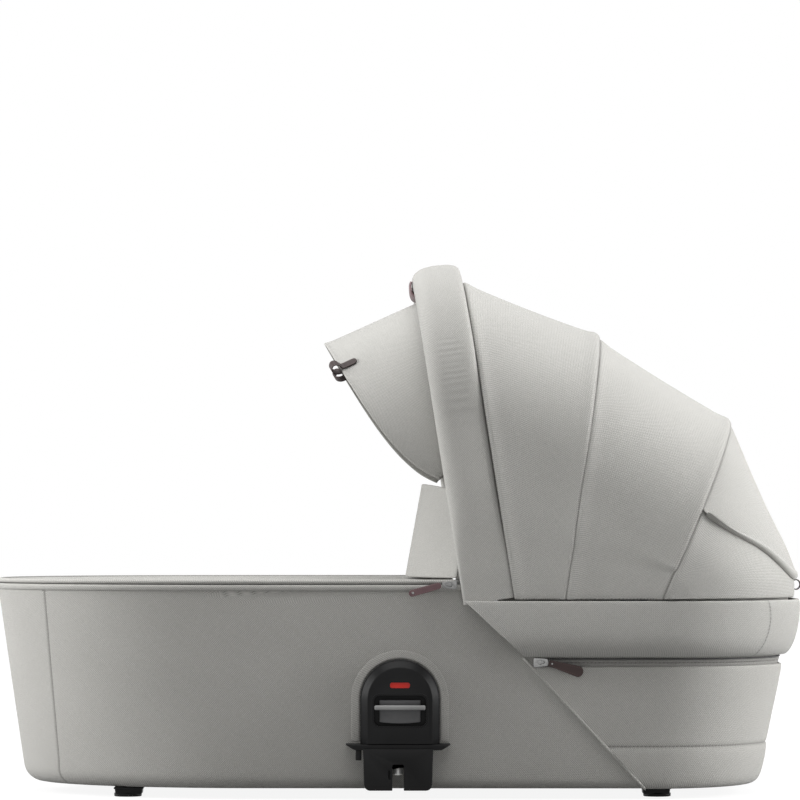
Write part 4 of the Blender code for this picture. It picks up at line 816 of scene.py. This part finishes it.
def round_off(piece, offset, segments, picked):
    """Round the picked edges of a piece."""
    edit(piece, "EDGE", picked, (bpy.ops.mesh.bevel, {"offset": offset, "segments": segments}))


def pane(piece, offset, segments=8):
    """Round the four corners of a box as seen from the side, and return it."""
    round_off(piece, offset, segments, lambda edge: abs(edge.verts[0].co.y - edge.verts[1].co.y) > 0.0003)
    return piece


def bevel(piece, width, segments=3, angle=35):
    """Round the sharp edges of a piece, and return it."""
    apply(piece, "BEVEL", width=width, segments=segments, limit_method="ANGLE",
          angle_limit=math.radians(angle))
    return piece


def carve(piece, *tools):
    """Take each tool shape out of a piece and put the tool away."""
    for tool in tools:
        apply(piece, "BOOLEAN", operation="DIFFERENCE", solver="EXACT", object=tool)
        bpy.data.objects.remove(tool, do_unlink=True)


def soft_shade(piece, angle=35):
    pick(piece)
    bpy.ops.object.shade_smooth_by_angle(angle=math.radians(angle))


housing_half, housing_middle, housing_foot, housing_cut = 0.0414, 0.1056, 0.0446, 0.0596
housing_inner, housing_outer = 0.1835, 0.2133
for side, tag in both_sides:
    housing = drum(housing_half, housing_outer - housing_inner,
                   (0, side * (housing_outer + housing_inner) / 2, housing_middle), 72,
                   rotation=(math.pi / 2, 0, 0))
    housing.name = "housing_" + tag
    edit(housing, "VERT", lambda vertex: vertex.co.z < housing_middle - 1e-5,
         (bpy.ops.transform.resize, {"value": (1, 1, 0), "center_override": (0, 0, housing_middle)}),
         (bpy.ops.transform.translate, {"value": (0, 0, housing_foot - housing_middle)}))
    edit(housing, "FACE", lambda face: face.normal.y * side > 0.9,
         (bpy.ops.mesh.inset, {"thickness": 0.0012, "depth": 0.0004}),
         (bpy.ops.mesh.inset, {"thickness": 0.0064, "depth": 0.0066}),
         (bpy.ops.mesh.inset, {"thickness": 0.0018, "depth": 0.0006}),
         (bpy.ops.mesh.select_all, {"action": "SELECT"}),
         (bpy.ops.mesh.bisect, {"plane_co": (0, 0, housing_cut), "plane_no": (0, 0, 1), "use_fill": True,
                                "clear_inner": True}))
    bevel(housing, 0.0005, 2, 25)
    carve(housing, pane(side_box("window", -0.0272, 0.0272, side, 0.2085, 0.23, 0.0782, 0.11), 0.0062))
    carve(housing, pane(side_box("flag_window", -0.0104, 0.0104, side, 0.212, 0.23, 0.1178, 0.1236),
                        0.0022, 6))
    carve(housing, side_box("pocket", -0.0274, 0.0274, side, 0.2088, 0.2178, 0.0776, 0.1112))
    carve(housing, side_box("flag_pocket", -0.0135, 0.0135, side, 0.2152, 0.2197, 0.1110, 0.1302))
    soft_shade(housing, 30)
    dress(housing, dark_plastic, "tub", "dark_plastic", "adapter_housing_" + tag)

    # Raised frame round the lever's window, with a groove inside it.
    surround = pane(side_box("lever_frame_" + tag, -0.0296, 0.0296, side, 0.2195, 0.2212, 0.0762, 0.1122),
                    0.0082)
    carve(surround, pane(side_box("hole", -0.0272, 0.0272, side, 0.2, 0.23, 0.0782, 0.1102), 0.0062))
    soft_shade(bevel(surround, 0.0004, 2, 40), 30)
    dress(surround, dark_plastic, "tub", "dark_plastic")


# Release levers. A grey paddle with a pale finger bar across it stands in the window; pushing the
# bar up lifts the bolt and the red flag with it.
red_plastic = moulded("red_plastic", (0.8, 0.022, 0.014), (0.92, 0.035, 0.022), 0.3, relief=0.02, worn=0.0)
lever_plastic = moulded("lever_plastic", (0.075, 0.075, 0.077), (0.105, 0.105, 0.107), 0.42)
lever_bar_plastic = moulded("lever_bar_plastic", (0.22, 0.22, 0.22), (0.3, 0.3, 0.295), 0.36)


def joined(pieces, name):
    """Join pieces into the first one, keeping each one's material."""
    pick(*pieces)
    bpy.ops.object.join()
    pieces[0].name = name
    return pieces[0]


paddle_half, paddle_front, paddle_lip = 0.0213, 0.216, 0.085
for side, tag in both_sides:
    paddle = side_box("paddle", -paddle_half, paddle_half, side, 0.2145, 0.2182, 0.0825, 0.1052)
    edit(paddle, "EDGE", lambda edge: abs(edge.verts[0].co.y - edge.verts[1].co.y) < 0.001,
         (bpy.ops.mesh.subdivide, {"number_cuts": 11}))
    for vertex in paddle.data.vertices:
        hollow = 0.0018 * max(0.0, 1 - ((vertex.co.z - 0.0915) / 0.012) ** 2)
        if vertex.co.y * side > paddle_front:
            vertex.co.y -= side * hollow
        if vertex.co.z < paddle_lip:
            vertex.co.z -= 0.0016 * (1 - (vertex.co.x / paddle_half) ** 2)
    bar = side_box("bar", -0.0266, 0.0266, side, 0.2155, 0.222, 0.0949, 0.0999)
    for part, width, segments, material in ((paddle, 0.0007, 2, lever_plastic),
                                            (bar, 0.0016, 4, lever_bar_plastic)):
        soft_shade(bevel(part, width, segments, 50), 40)
        part.data.materials.append(material)
    lever = joined([paddle, bar], "lever_" + tag)
    dress(lever, None, "lever_" + tag, "grey_plastic", "release_lever_" + tag)

    flag = side_box("flag_" + tag, -0.0125, 0.0125, side, 0.2164, 0.2193, 0.1122, 0.1254)
    edit(flag, "FACE", lambda face: face.normal.y * side > 0.9,
         (bpy.ops.mesh.inset, {"thickness": 0.0016, "depth": 0.0}))
    soft_shade(bevel(flag, 0.0004, 2, 40), 40)
    dress(flag, red_plastic, "flag_" + tag, "red_plastic", "indicator_" + tag)


# Zips. A coil zip runs round the head end under the band and another round the rim under the
# apron. Each tape is woven, each slider is bright metal and has a leather pull.
def resample(path, pitch):
    """The same path with places a given pitch apart."""
    lengths = distances(path)
    places, index = [], 0
    for step in range(int(lengths[-1] / pitch) + 1):
        wanted = step * lengths[-1] / int(lengths[-1] / pitch)
        while index < len(path) - 2 and lengths[index + 1] < wanted:
            index += 1
        part = (wanted - lengths[index]) / max(lengths[index + 1] - lengths[index], 1e-9)
        places.append(path[index].lerp(path[index + 1], min(part, 1)))
    return places


tape_cloth = woven("tape_cloth", (0.2, 0.196, 0.185), (0.42, 0.41, 0.39), 0.0008)
# The marked rows darken the tape's stitch line and its top edge under the teeth: stitching and painted
# shade.
tape_rows, tape_marks = [], []
for z, out, mark in ((0.1395, 0.0002, 0), (0.1405, 0.0006, 0), (0.1425, 0.0008, 0), (0.1432, 0.0003, 1),
                     (0.144, 0.0009, 0), (0.1455, 0.0012, 0), (0.1462, 0.0006, 0.6), (0.148, -0.0006, 1)):
    tape_rows.append(head_row(z, 0.151, out, out))
    tape_marks.append([mark] * len(tape_rows[0]))
tape = cloth_grid("head_zip_tape_cloth", tape_rows, seams=tape_marks, levels=1)
dress(tape, tape_cloth, "tub", "melange_cloth", "head_zip_tape")

teeth_plastic = moulded("teeth_plastic", (0.035, 0.035, 0.035), (0.07, 0.07, 0.07), 0.35)
teeth_path = resample(head_row(0.1473, 0.1514, 0.0004, 0.0004), 0.00045)
teeth_radii = [0.0007 + 0.0003 * math.sin(math.pi * step / 1.5) ** 2 for step in range(len(teeth_path))]
teeth = tube("head_zip_teeth", teeth_path, teeth_radii, 6)
dress(teeth, teeth_plastic, "tub", "melange_cloth")

steel = moulded("steel", (0.11, 0.11, 0.11), (0.24, 0.24, 0.235), 0.2, grain=1400.0, relief=0.03, worn=0.1,
                metal=1.0)


def zip_slider(name, nose_x, tail_x, middle_z, half_z, side, inner_y):
    """Zip slider: two plates on a neck, a key-hole through the upper one and a loop for the pull."""
    parts = []
    for low, high, shrink in ((0.0, 0.0009, 1.0), (0.0021, 0.0028, 0.86)):
        plate = side_box("plate", min(nose_x, tail_x), max(nose_x, tail_x), side, inner_y + low,
                         inner_y + high, middle_z - half_z * shrink, middle_z + half_z * shrink)
        squeeze(plate, (1, 1, 0.72), (0, 0, middle_z), lambda vertex: abs(vertex.co.x - tail_x) < 0.001)
        parts.append(pane(plate, 0.0022, 5))
    for place, radius in ((0.46, 0.0024), (0.66, 0.0015)):
        centre = (nose_x + (tail_x - nose_x) * place, side * (inner_y + 0.0026), middle_z)
        carve(parts[1], drum(radius, 0.006, centre, 24, rotation=(math.pi / 2, 0, 0)))
    run = 1 if tail_x > nose_x else -1
    parts.append(side_box("neck", *sorted((nose_x + run * 0.0015, nose_x + run * 0.0045)), side,
                          inner_y + 0.0008, inner_y + 0.0022, middle_z - 0.0013, middle_z + 0.0013))
    bail_x = tail_x - run * 0.0026
    bail = begin(bpy.ops.mesh.primitive_torus_add, major_radius=0.0022, minor_radius=0.00045,
                 major_segments=32, minor_segments=10, rotation=(math.pi / 2, 0, 0),
                 location=(bail_x, side * (inner_y + 0.0024), middle_z))
    squeeze(bail, (1.1, 0.8, 0.9), (bail_x, 0, middle_z))
    for part in parts:
        bevel(part, 0.0002, 2, 40)
    slider = joined(parts + [bail], name)
    soft_shade(slider, 40)
    return slider


head_slider = zip_slider("head_slider_metal", 0.1394, 0.1548, 0.1438, 0.0052, -1, 0.1976)
dress(head_slider, steel, "head_slider", "steel", "head_zip_slider")


def leather(name, dark, light, thread):
    """Dyed leather: fine creases, rubbed edges and a row of stitches along each marked line."""
    material = moulded(name, dark, light, 0.55, grain=700.0, relief=0.25, worn=0.02)
    tree = material.node_tree
    shader = tree.nodes["Principled BSDF"]
    along = add_node(tree, "SeparateXYZ", {0: add_node(tree, "UVMap", uv_map="cloth")[0]})[1]
    wave = calc(tree, "SINE", calc(tree, "MULTIPLY", along, 2 * math.pi / 0.0024))
    line = add_node(tree, "Attribute", attribute_name="seam")["Fac"]
    sewn = calc(tree, "MULTIPLY", mapped(tree, wave, -0.35, -0.1), mapped(tree, line, 0.45, 0.65))
    dye = shader.inputs["Base Color"].links[0].from_socket
    wire(tree, shader, {"Sheen Weight": 0.1,
                        "Base Color": colour_mix(tree, "MIX", sewn, dye, (*thread, 1))})
    return material


brown_leather = leather("brown_leather", (0.024, 0.014, 0.013), (0.045, 0.027, 0.025), (0.09, 0.06, 0.055))
mauve_leather = leather("mauve_leather", (0.105, 0.058, 0.063), (0.165, 0.098, 0.105), (0.26, 0.18, 0.18))


def strap(name, path, halves, across, thickness, closed_ends=(True, True)):
    """Strip of leather along a path, with a stitched line near each edge and rounded ends."""
    path = resample(path, 0.0008)
    travelled = distances(path)
    length = travelled[-1]
    shares = (-1, -0.9, -0.8, -0.7, -0.58, -0.3, 0, 0.3, 0.58, 0.7, 0.8, 0.9, 1)
    rows, marks = [], []
    for point, gone in zip(path, travelled):
        half = halves[0] + (halves[1] - halves[0]) * gone / length
        for rounded, distance in zip(closed_ends, (gone, length - gone)):
            if rounded and distance < half:
                half *= max(1 - (1 - distance / half) ** 2, 0.015) ** 0.5
        rows.append([point + across * half * share for share in shares])
        inside = 1 if min(gone, length - gone) > 0.002 else 0
        marks.append([inside if abs(share) == 0.7 else 0 for share in shares])
    return cloth_grid(name, rows, seams=marks, thickness=thickness, levels=1)


def riveted(pull, leather_dye, place, radius=0.0014):
    """Dye a leather pull and set a small domed metal rivet in it."""
    pull.data.materials.append(leather_dye)
    dome = begin(bpy.ops.mesh.primitive_uv_sphere_add, segments=20, ring_count=12, radius=radius,
                 location=place)
    squeeze(dome, (1, 0.35, 1), place)
    soft_shade(dome, 60)
    dome.data.materials.append(steel)
    return joined([pull, dome], pull.name)


tilt = Vector((math.cos(math.radians(16.5)), 0, -math.sin(math.radians(16.5))))
upright = Vector((tilt.z, 0, -tilt.x))
pull_start = Vector((0.1555, -0.20235, 0.14355))
head_pull = riveted(strap("head_pull_leather", [pull_start, pull_start + tilt * 0.0372], (0.0032, 0.0064),
                          upright, 0.0016, (False, True)),
                    brown_leather, pull_start + tilt * 0.0035 + Vector((0, -0.0002, 0)), 0.0011)
dress(head_pull, None, "head_pull", "brown_leather", "head_zip_pull")

for side, tag in both_sides:
    slider = zip_slider("apron_slider_metal_" + tag, 0.0593, 0.0438, 0.22495, 0.0046, side, 0.2056)
    dress(slider, steel, "apron_slider_" + tag, "steel", "apron_zip_slider_" + tag)
    start = Vector((0.043, side * 0.2105, 0.22475))
    end = start + Vector((-0.0338, 0, -0.0096))
    run = (end - start).normalized()
    pull = riveted(strap("apron_pull_leather_" + tag, [start, end], (0.0034, 0.0036),
                         Vector((run.z, 0, -run.x)) * -side, 0.0014),
                   mauve_leather, end - run * 0.0046 + Vector((0, side * 0.0002, 0)))
    dress(pull, None, "apron_pull_" + tag, "mauve_leather", "apron_zip_pull_" + tag)


# Leather loops and grip. Two loops to pull the visor by are sewn over its hem and one holds the
# rear flap. The grip is a leather wrap under the top of the bow.
for share, tag in ((4 / 14, "left"), (10 / 14, "right")):
    tip = visor_point(share, 1.0)
    out = (tip - visor_point(share, 0.95)).normalized()
    along = (visor_point(share + 0.01, 1.0) - visor_point(share - 0.01, 1.0)).normalized()
    off = out.cross(along).normalized()
    if off.dot(tip - visor_hinge) < 0:
        off.negate()
    path = [tip + out * 0.0125 * reach + off * (0.0018 + 0.009 * drop) for reach, drop in
            ((-1.5, 0.0), (-1.1, 0.0), (-0.7, 0.02), (-0.3, 0.05), (-0.1, 0.16), (-0.02, 0.42),
             (0.04, 0.66), (0.15, 0.88), (0.29, 1.03), (0.45, 1.1), (0.62, 1.03), (0.75, 0.85),
             (0.84, 0.62), (0.88, 0.35), (0.84, 0.08), (0.75, -0.15), (0.62, -0.34), (0.46, -0.48),
             (0.29, -0.56), (0.12, -0.57), (-0.04, -0.51), (-0.18, -0.44), (-0.36, -0.4),
             (-0.6, -0.38))]
    loop = strap("visor_loop_leather_" + tag, path, (0.0046, 0.0046), along, 0.0012)
    dress(loop, brown_leather, "visor", "brown_leather", "visor_loop_" + tag)

ring_path = [Vector((0.43065 + 0.0053 * math.cos(turn * math.pi / 20), 0,
                     0.2225 + 0.0059 * math.sin(turn * math.pi / 20))) for turn in range(41)]
rear_ring = strap("rear_loop_leather", ring_path, (0.0044, 0.0044), Vector((0, 1, 0)), 0.0012,
                  (False, False))
dress(rear_ring, brown_leather, "tub", "brown_leather", "rear_loop")

grip_columns = ((-1.02, 0.42), (-1.08, 0.46), (-1.13, 0.56), (-1.145, 0.7), (-1.14, 0.84),
                (-1.1, 0.98), (-1.02, 1.07), (-0.88, 1.11), (-0.5, 1.13), (0.0, 1.14), (0.5, 1.13),
                (0.86, 1.1), (0.96, 1.05), (1.0, 0.98), (1.015, 0.94), (1.02, 0.9))
grip_places = [place for place in front_places if abs(place.point.y) <= 0.0685]
grip_rows, grip_marks = [], []
for number, place in enumerate(grip_places):
    inset = 0.06 * (number in (0, len(grip_places) - 1))
    grip_rows.append([place.point + place.across * sleeve_half * along * (1 - inset)
                      + place.outward * (sleeve_proud - sleeve_thick * (depth - inset))
                      for along, depth in grip_columns])
    grip_marks.append([1.0 if index in (3, 13) else 0.0 for index in range(len(grip_columns))])
grip = cloth_grid("bow_grip", grip_rows, seams=grip_marks, thickness=-0.0012, levels=1)
dress(grip, mauve_leather, "front_bow", "mauve_leather", "carry_grip")


# Adapter sockets. A tapered dark box under each arch drops over the chassis adapter; two thin
# wings screw it to the tub, and the bolt that locks it stands in its slot.
pin_steel = moulded("pin_steel", (0.62, 0.62, 0.6), (0.8, 0.8, 0.78), 0.4, grain=1400.0, relief=0.03,
                    metal=0.35)
socket_plastic = moulded("socket_plastic", (0.004, 0.004, 0.0042), (0.007, 0.007, 0.0072), 0.42,
                         relief=0.08, worn=0.012, specular=0.12)
bolt_x, bolt_y = -0.002, 0.204


def runs_inward(edge, low, high):
    """Whether an edge runs in from the side, at a height between two others."""
    first, second = (vertex.co for vertex in edge.verts)
    return (low < min(first.z, second.z) and max(first.z, second.z) < high
            and abs(first.x - second.x) < 0.001)


for side, tag in both_sides:
    box = side_box("socket_" + tag, -0.0385, 0.0345, side, 0.1885, 0.2222, 0.0113, 0.0545)
    squeeze(box, (0.965, 0.97, 1), (bolt_x, side * 0.2, 0), lambda vertex: vertex.co.z < 0.02)
    round_off(box, 0.0062, 6, lambda edge: runs_inward(edge, 0, 0.02))
    slot = side_box("slot", -0.0079, 0.0039, side, 0.18, 0.23, 0.0, 0.0383)
    round_off(slot, 0.0018, 4, lambda edge: runs_inward(edge, 0.03, 0.04))
    carve(box, side_box("throat", -0.028, 0.024, side, 0.1925, 0.2195, 0.0, 0.0385), slot,
          side_box("slit", -0.0122, -0.0098, side, 0.218, 0.23, 0.0225, 0.0325))
    wings = side_box("wings", -0.0572, 0.0532, side, 0.1862, 0.2205, 0.0532, 0.0592)
    squeeze(wings, (0.82, 1, 1), (bolt_x, 0, 0), lambda vertex: vertex.co.z < 0.055)
    socket = joined([bevel(box, 0.0007, 2, 40), bevel(wings, 0.0012, 3, 30),
                     bevel(side_box("tab", -0.0462, -0.0402, side, 0.199, 0.2165, 0.0425, 0.0545),
                           0.0012, 3, 30),
                     bevel(drum(0.0052, 0.022, (bolt_x, side * bolt_y, 0.0485)), 0.0006, 2, 40)],
                    "socket_" + tag)
    soft_shade(socket, 35)
    dress(socket, socket_plastic, "tub", "dark_plastic", "adapter_socket_" + tag)

    bolt = joined([drum(0.0029, 0.036, (bolt_x, side * bolt_y, 0.055)),
                   bevel(drum(0.0049, 0.0112, (bolt_x, side * bolt_y, 0.0324)), 0.0013, 4, 40)],
                  "bolt_" + tag)
    soft_shade(bolt, 40)
    dress(bolt, pin_steel, "bolt_" + tag, "steel", "latch_bolt_" + tag)


# Feet. Four moulded glossy feet, each a block under a thin flange with a softer pad that stands
# on the ground.
foot_y = 0.125
for side, side_tag in both_sides:
    for run, centre, tag in ((-1, -0.28705, "toe"), (1, 0.2711, "head")):
        low, high = centre - 0.0148, centre + 0.0148
        middle = (centre, side * foot_y, 0)
        block = side_box("block", low, high, side, 0.1122, 0.1378, 0.0022, 0.0099)
        squeeze(block, (0.95, 0.94, 1), middle, lambda vertex: vertex.co.z < 0.005)
        flange = side_box("flange", low - 0.0008, high + 0.0008, side, 0.1114, 0.1386, 0.0082, 0.0101)
        pad = drum(0.0142, 0.004, (centre + run * 0.0012, side * foot_y, 0.00205), 48)
        squeeze(pad, (1.03, 0.9, 1), middle)
        foot = joined([bevel(block, 0.0022, 4, 40), bevel(flange, 0.0006, 2, 40),
                       bevel(pad, 0.0011, 3, 40)], "foot_" + tag + "_" + side_tag[0])
        soft_shade(foot, 35)
        dress(foot, dark_plastic, "tub", "dark_plastic", "foot_" + tag + "_" + side_tag)


# Lining. Soft pale cloth hangs inside the tub walls and covers the floor under the mattress.
lining_cloth = woven("lining_cloth", (0.58, 0.57, 0.54), (0.76, 0.75, 0.72), 0.0014, 0.3, 0.2)
lining_rows = []
for z, inner in ((0.2144, 0.0069), (0.213, 0.0074), (0.205, 0.0079), (0.19, 0.0082), (0.16, 0.0084),
                 (0.13, 0.0085), (0.1, 0.0085), (0.07, 0.0085), (0.045, 0.0086), (0.032, 0.009),
                 (0.026, 0.011), (0.0232, 0.0145), (0.0226, 0.02), (0.0225, 0.05), (0.0225, 0.09)):
    row = []
    for number, angle in enumerate(full_turn(24)):
        wave = 0.0011 * math.sin(number * 1.9) * math.sin(number * 0.37 + z * 26) * ease((0.2 - z) / 0.05)
        row.append(ring_point(z, angle, -inner - abs(wave), -inner - abs(wave)))
    lining_rows.append(row[::-1])
lining_rows.append([Vector((point.x * 0.8, point.y * 0.02, 0.0225)) for point in lining_rows[-1]])
lining = cloth_grid("tub_lining", lining_rows, closed=True, thickness=0.0008, levels=1)
dress(lining, lining_cloth, "tub", "lining_cloth", "lining")


# Mattress. A foam pad in a quilted cover, cut to the tub's outline, lies on the floor board.
mattress_cloth = woven("mattress_cloth", (0.62, 0.61, 0.58), (0.8, 0.79, 0.76), 0.0012, 0.25, 0.25)
pad_rows = []
for z, out in ((0.0226, -0.09), (0.0226, -0.02), (0.0228, -0.008), (0.0245, -0.002), (0.028, 0.0008),
               (0.034, 0.002), (0.043, 0.0022), (0.052, 0.002), (0.058, 0.0008), (0.0622, -0.002),
               (0.0638, -0.008), (0.0642, -0.02), (0.0644, -0.05), (0.0645, -0.09)):
    row = []
    for angle in full_turn(24):
        point = ring_point(0.045, angle, out - 0.02, out - 0.0245)
        row.append(Vector((point.x, point.y, z)))
    pad_rows.append(row)
first, last = ([Vector((point.x * 0.8, point.y * 0.02, point.z)) for point in row]
               for row in (pad_rows[0], pad_rows[-1]))
pad = cloth_grid("sleeping_pad", [first, *pad_rows, last], closed=True)
mend(pad)
pad_bulge, pad_low, pad_high = 0.006, 0.0225, 0.0652
apply(pad, "REMESH", mode="VOXEL", voxel_size=0.0065)
rest_places = [vertex.co.copy() for vertex in pad.data.vertices]
cloth = pad.modifiers.new("cloth", "CLOTH")
cloth.settings.quality = 4
cloth.settings.use_pressure = True
cloth.settings.uniform_pressure_force = 4
cloth.settings.effector_weights.gravity = 0
cloth.settings.shrink_min = -0.006
for number in range(1, 15):
    bpy.context.scene.frame_set(number)
bpy.ops.object.modifier_apply(modifier=cloth.name)
bpy.context.scene.frame_set(1)
for vertex, rest in zip(pad.data.vertices, rest_places):
    moved = vertex.co - rest
    if moved.length > pad_bulge:
        moved *= pad_bulge / moved.length
    tuft = (math.sin(math.pi * rest.x / 0.07) * math.sin(math.pi * rest.y / 0.07)) ** 2
    vertex.co = rest + moved
    if rest.z > 0.05:
        vertex.co.z = min(vertex.co.z, pad_high) - 0.0022 * (1 - tuft) ** 4
    vertex.co.z = max(vertex.co.z, pad_low)
apply(pad, "SUBSURF", levels=1)
bpy.ops.object.shade_smooth()
dress(pad, mattress_cloth, "tub", "lining_cloth", "mattress")


# Parts inside. The shell, rim tube, floor board, bow tube, ribs and hinges keep the shapes of the
# assembly and take only their finishes.
tub_plastic = moulded("tub_plastic", (0.03, 0.03, 0.031), (0.05, 0.05, 0.051), 0.5, relief=0.1)
grey_plastic = moulded("grey_plastic", (0.09, 0.09, 0.092), (0.13, 0.13, 0.132), 0.45)
aluminium = moulded("aluminium", (0.55, 0.55, 0.56), (0.68, 0.68, 0.68), 0.34, grain=1100.0, relief=0.05,
                    worn=0.1, metal=1.0)
board = moulded("board", (0.2, 0.145, 0.09), (0.34, 0.26, 0.17), 0.7, grain=420.0, relief=0.3)
for material, names in ((tub_plastic, ("tub_shell", "rear_bow_rib", "mid_bow_rib")),
                        (dark_plastic, ("hinge_plate_left", "hinge_plate_right")),
                        (grey_plastic, ("hood_button_left", "hood_button_right")),
                        (steel, ("hinge_pin_left", "hinge_pin_right")),
                        (aluminium, ("rim_frame", "front_bow_tube")), (board, ("floor_board",))):
    for name in names:
        for slot in bpy.data.objects[name].material_slots:
            slot.link = "DATA"
            slot.material = material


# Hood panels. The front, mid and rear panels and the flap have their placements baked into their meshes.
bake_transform(mid_panel)
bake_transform(front_panel)
for piece in (rear_panel, flap):
    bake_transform(piece)


# Studio. A plain pale floor, a lamp overhead, one at each end and a weak one beside the camera.
# The camera and mirrors see white all round, and the floor keeps only the cot's shadow.
scene = bpy.context.scene
camera = bpy.data.objects.new("camera", bpy.data.cameras.new("camera"))
scene.collection.objects.link(camera)
camera.location = (0, -5, 0.2926)
camera.rotation_euler = (math.radians(90 + 1.497), 0, 0)
camera.data.lens = 206.6
camera.data.sensor_width = 36
camera.data.clip_end = 60
scene.camera = camera
scene.view_settings.view_transform = "Standard"

for name, place, target, width, power in (("lamp_over", (-0.1, -0.3, 2.4), (0, 0, 0.2), 2.2, 46),
                                          ("lamp_foot", (-2.2, -0.25, 0.9), (0, 0, 0.25), 1.4, 49),
                                          ("lamp_head", (2.2, -0.25, 0.8), (0, 0, 0.25), 1.4, 50),
                                          ("lamp_camera", (0, -3.4, 1.2), (0, 0, 0.25), 2.4, 9.5)):
    light = bpy.data.objects.new(name, bpy.data.lights.new(name, "AREA"))
    light.data.shape = "RECTANGLE"
    light.data.size = light.data.size_y = width
    light.data.energy = power
    light.location = place
    light.rotation_euler = (Vector(target) - Vector(place)).to_track_quat("-Z", "Y").to_euler()
    scene.collection.objects.link(light)


def seen_by(tree, *kinds):
    """1 for the kinds of ray named, and 0 for the others."""
    rays = add_node(tree, "LightPath")
    seen = rays[kinds[0]]
    for kind in kinds[1:]:
        seen = calc(tree, "MAXIMUM", seen, rays[kind])
    return seen


world = bpy.data.worlds.new("studio")
scene.world = world
world.use_nodes = True
tree = world.node_tree
white = seen_by(tree, "Is Camera Ray", "Is Glossy Ray", "Is Transmission Ray")
wire(tree, tree.nodes["Background"], {"Color": (1, 1, 1, 1),
                                      "Strength": mapped(tree, white, 0, 1, 0.22, 1.0)})

bpy.ops.object.select_all(action="DESELECT")
bpy.ops.mesh.primitive_plane_add(size=24, location=(0, 0, -0.0004))
floor = bpy.context.object
floor.name = "floor"
pale, tree, matte = new_material("pale_floor")
speck = add_node(tree, "TexNoise", {"Scale": 40.0})[0]
wire(tree, matte, {"Roughness": 0.9, "Specular IOR Level": 0.0,
                   "Base Color": ramp(tree, speck, (0, (0.22, 0.22, 0.22)), (1, (0.25, 0.25, 0.25)))})
away = add_node(tree, "VectorMath", {0: add_node(tree, "TexCoord")["Object"]}, operation="LENGTH")["Value"]
glow = add_node(tree, "Emission", {"Strength": mapped(tree, away, 0.7, 2.4, 0.9, 1.0)})[0]
shown = add_node(tree, "BsdfDiffuse", {"Color": (0.16, 0.16, 0.16, 1)})[0]
lit = add_node(tree, "AddShader", {0: shown, 1: glow})[0]
look = {0: seen_by(tree, "Is Camera Ray", "Is Glossy Ray"), 1: matte.outputs[0], 2: lit}
wire(tree, tree.nodes["Material Output"], {"Surface": add_node(tree, "MixShader", look)[0]})
floor.data.materials.append(pale)
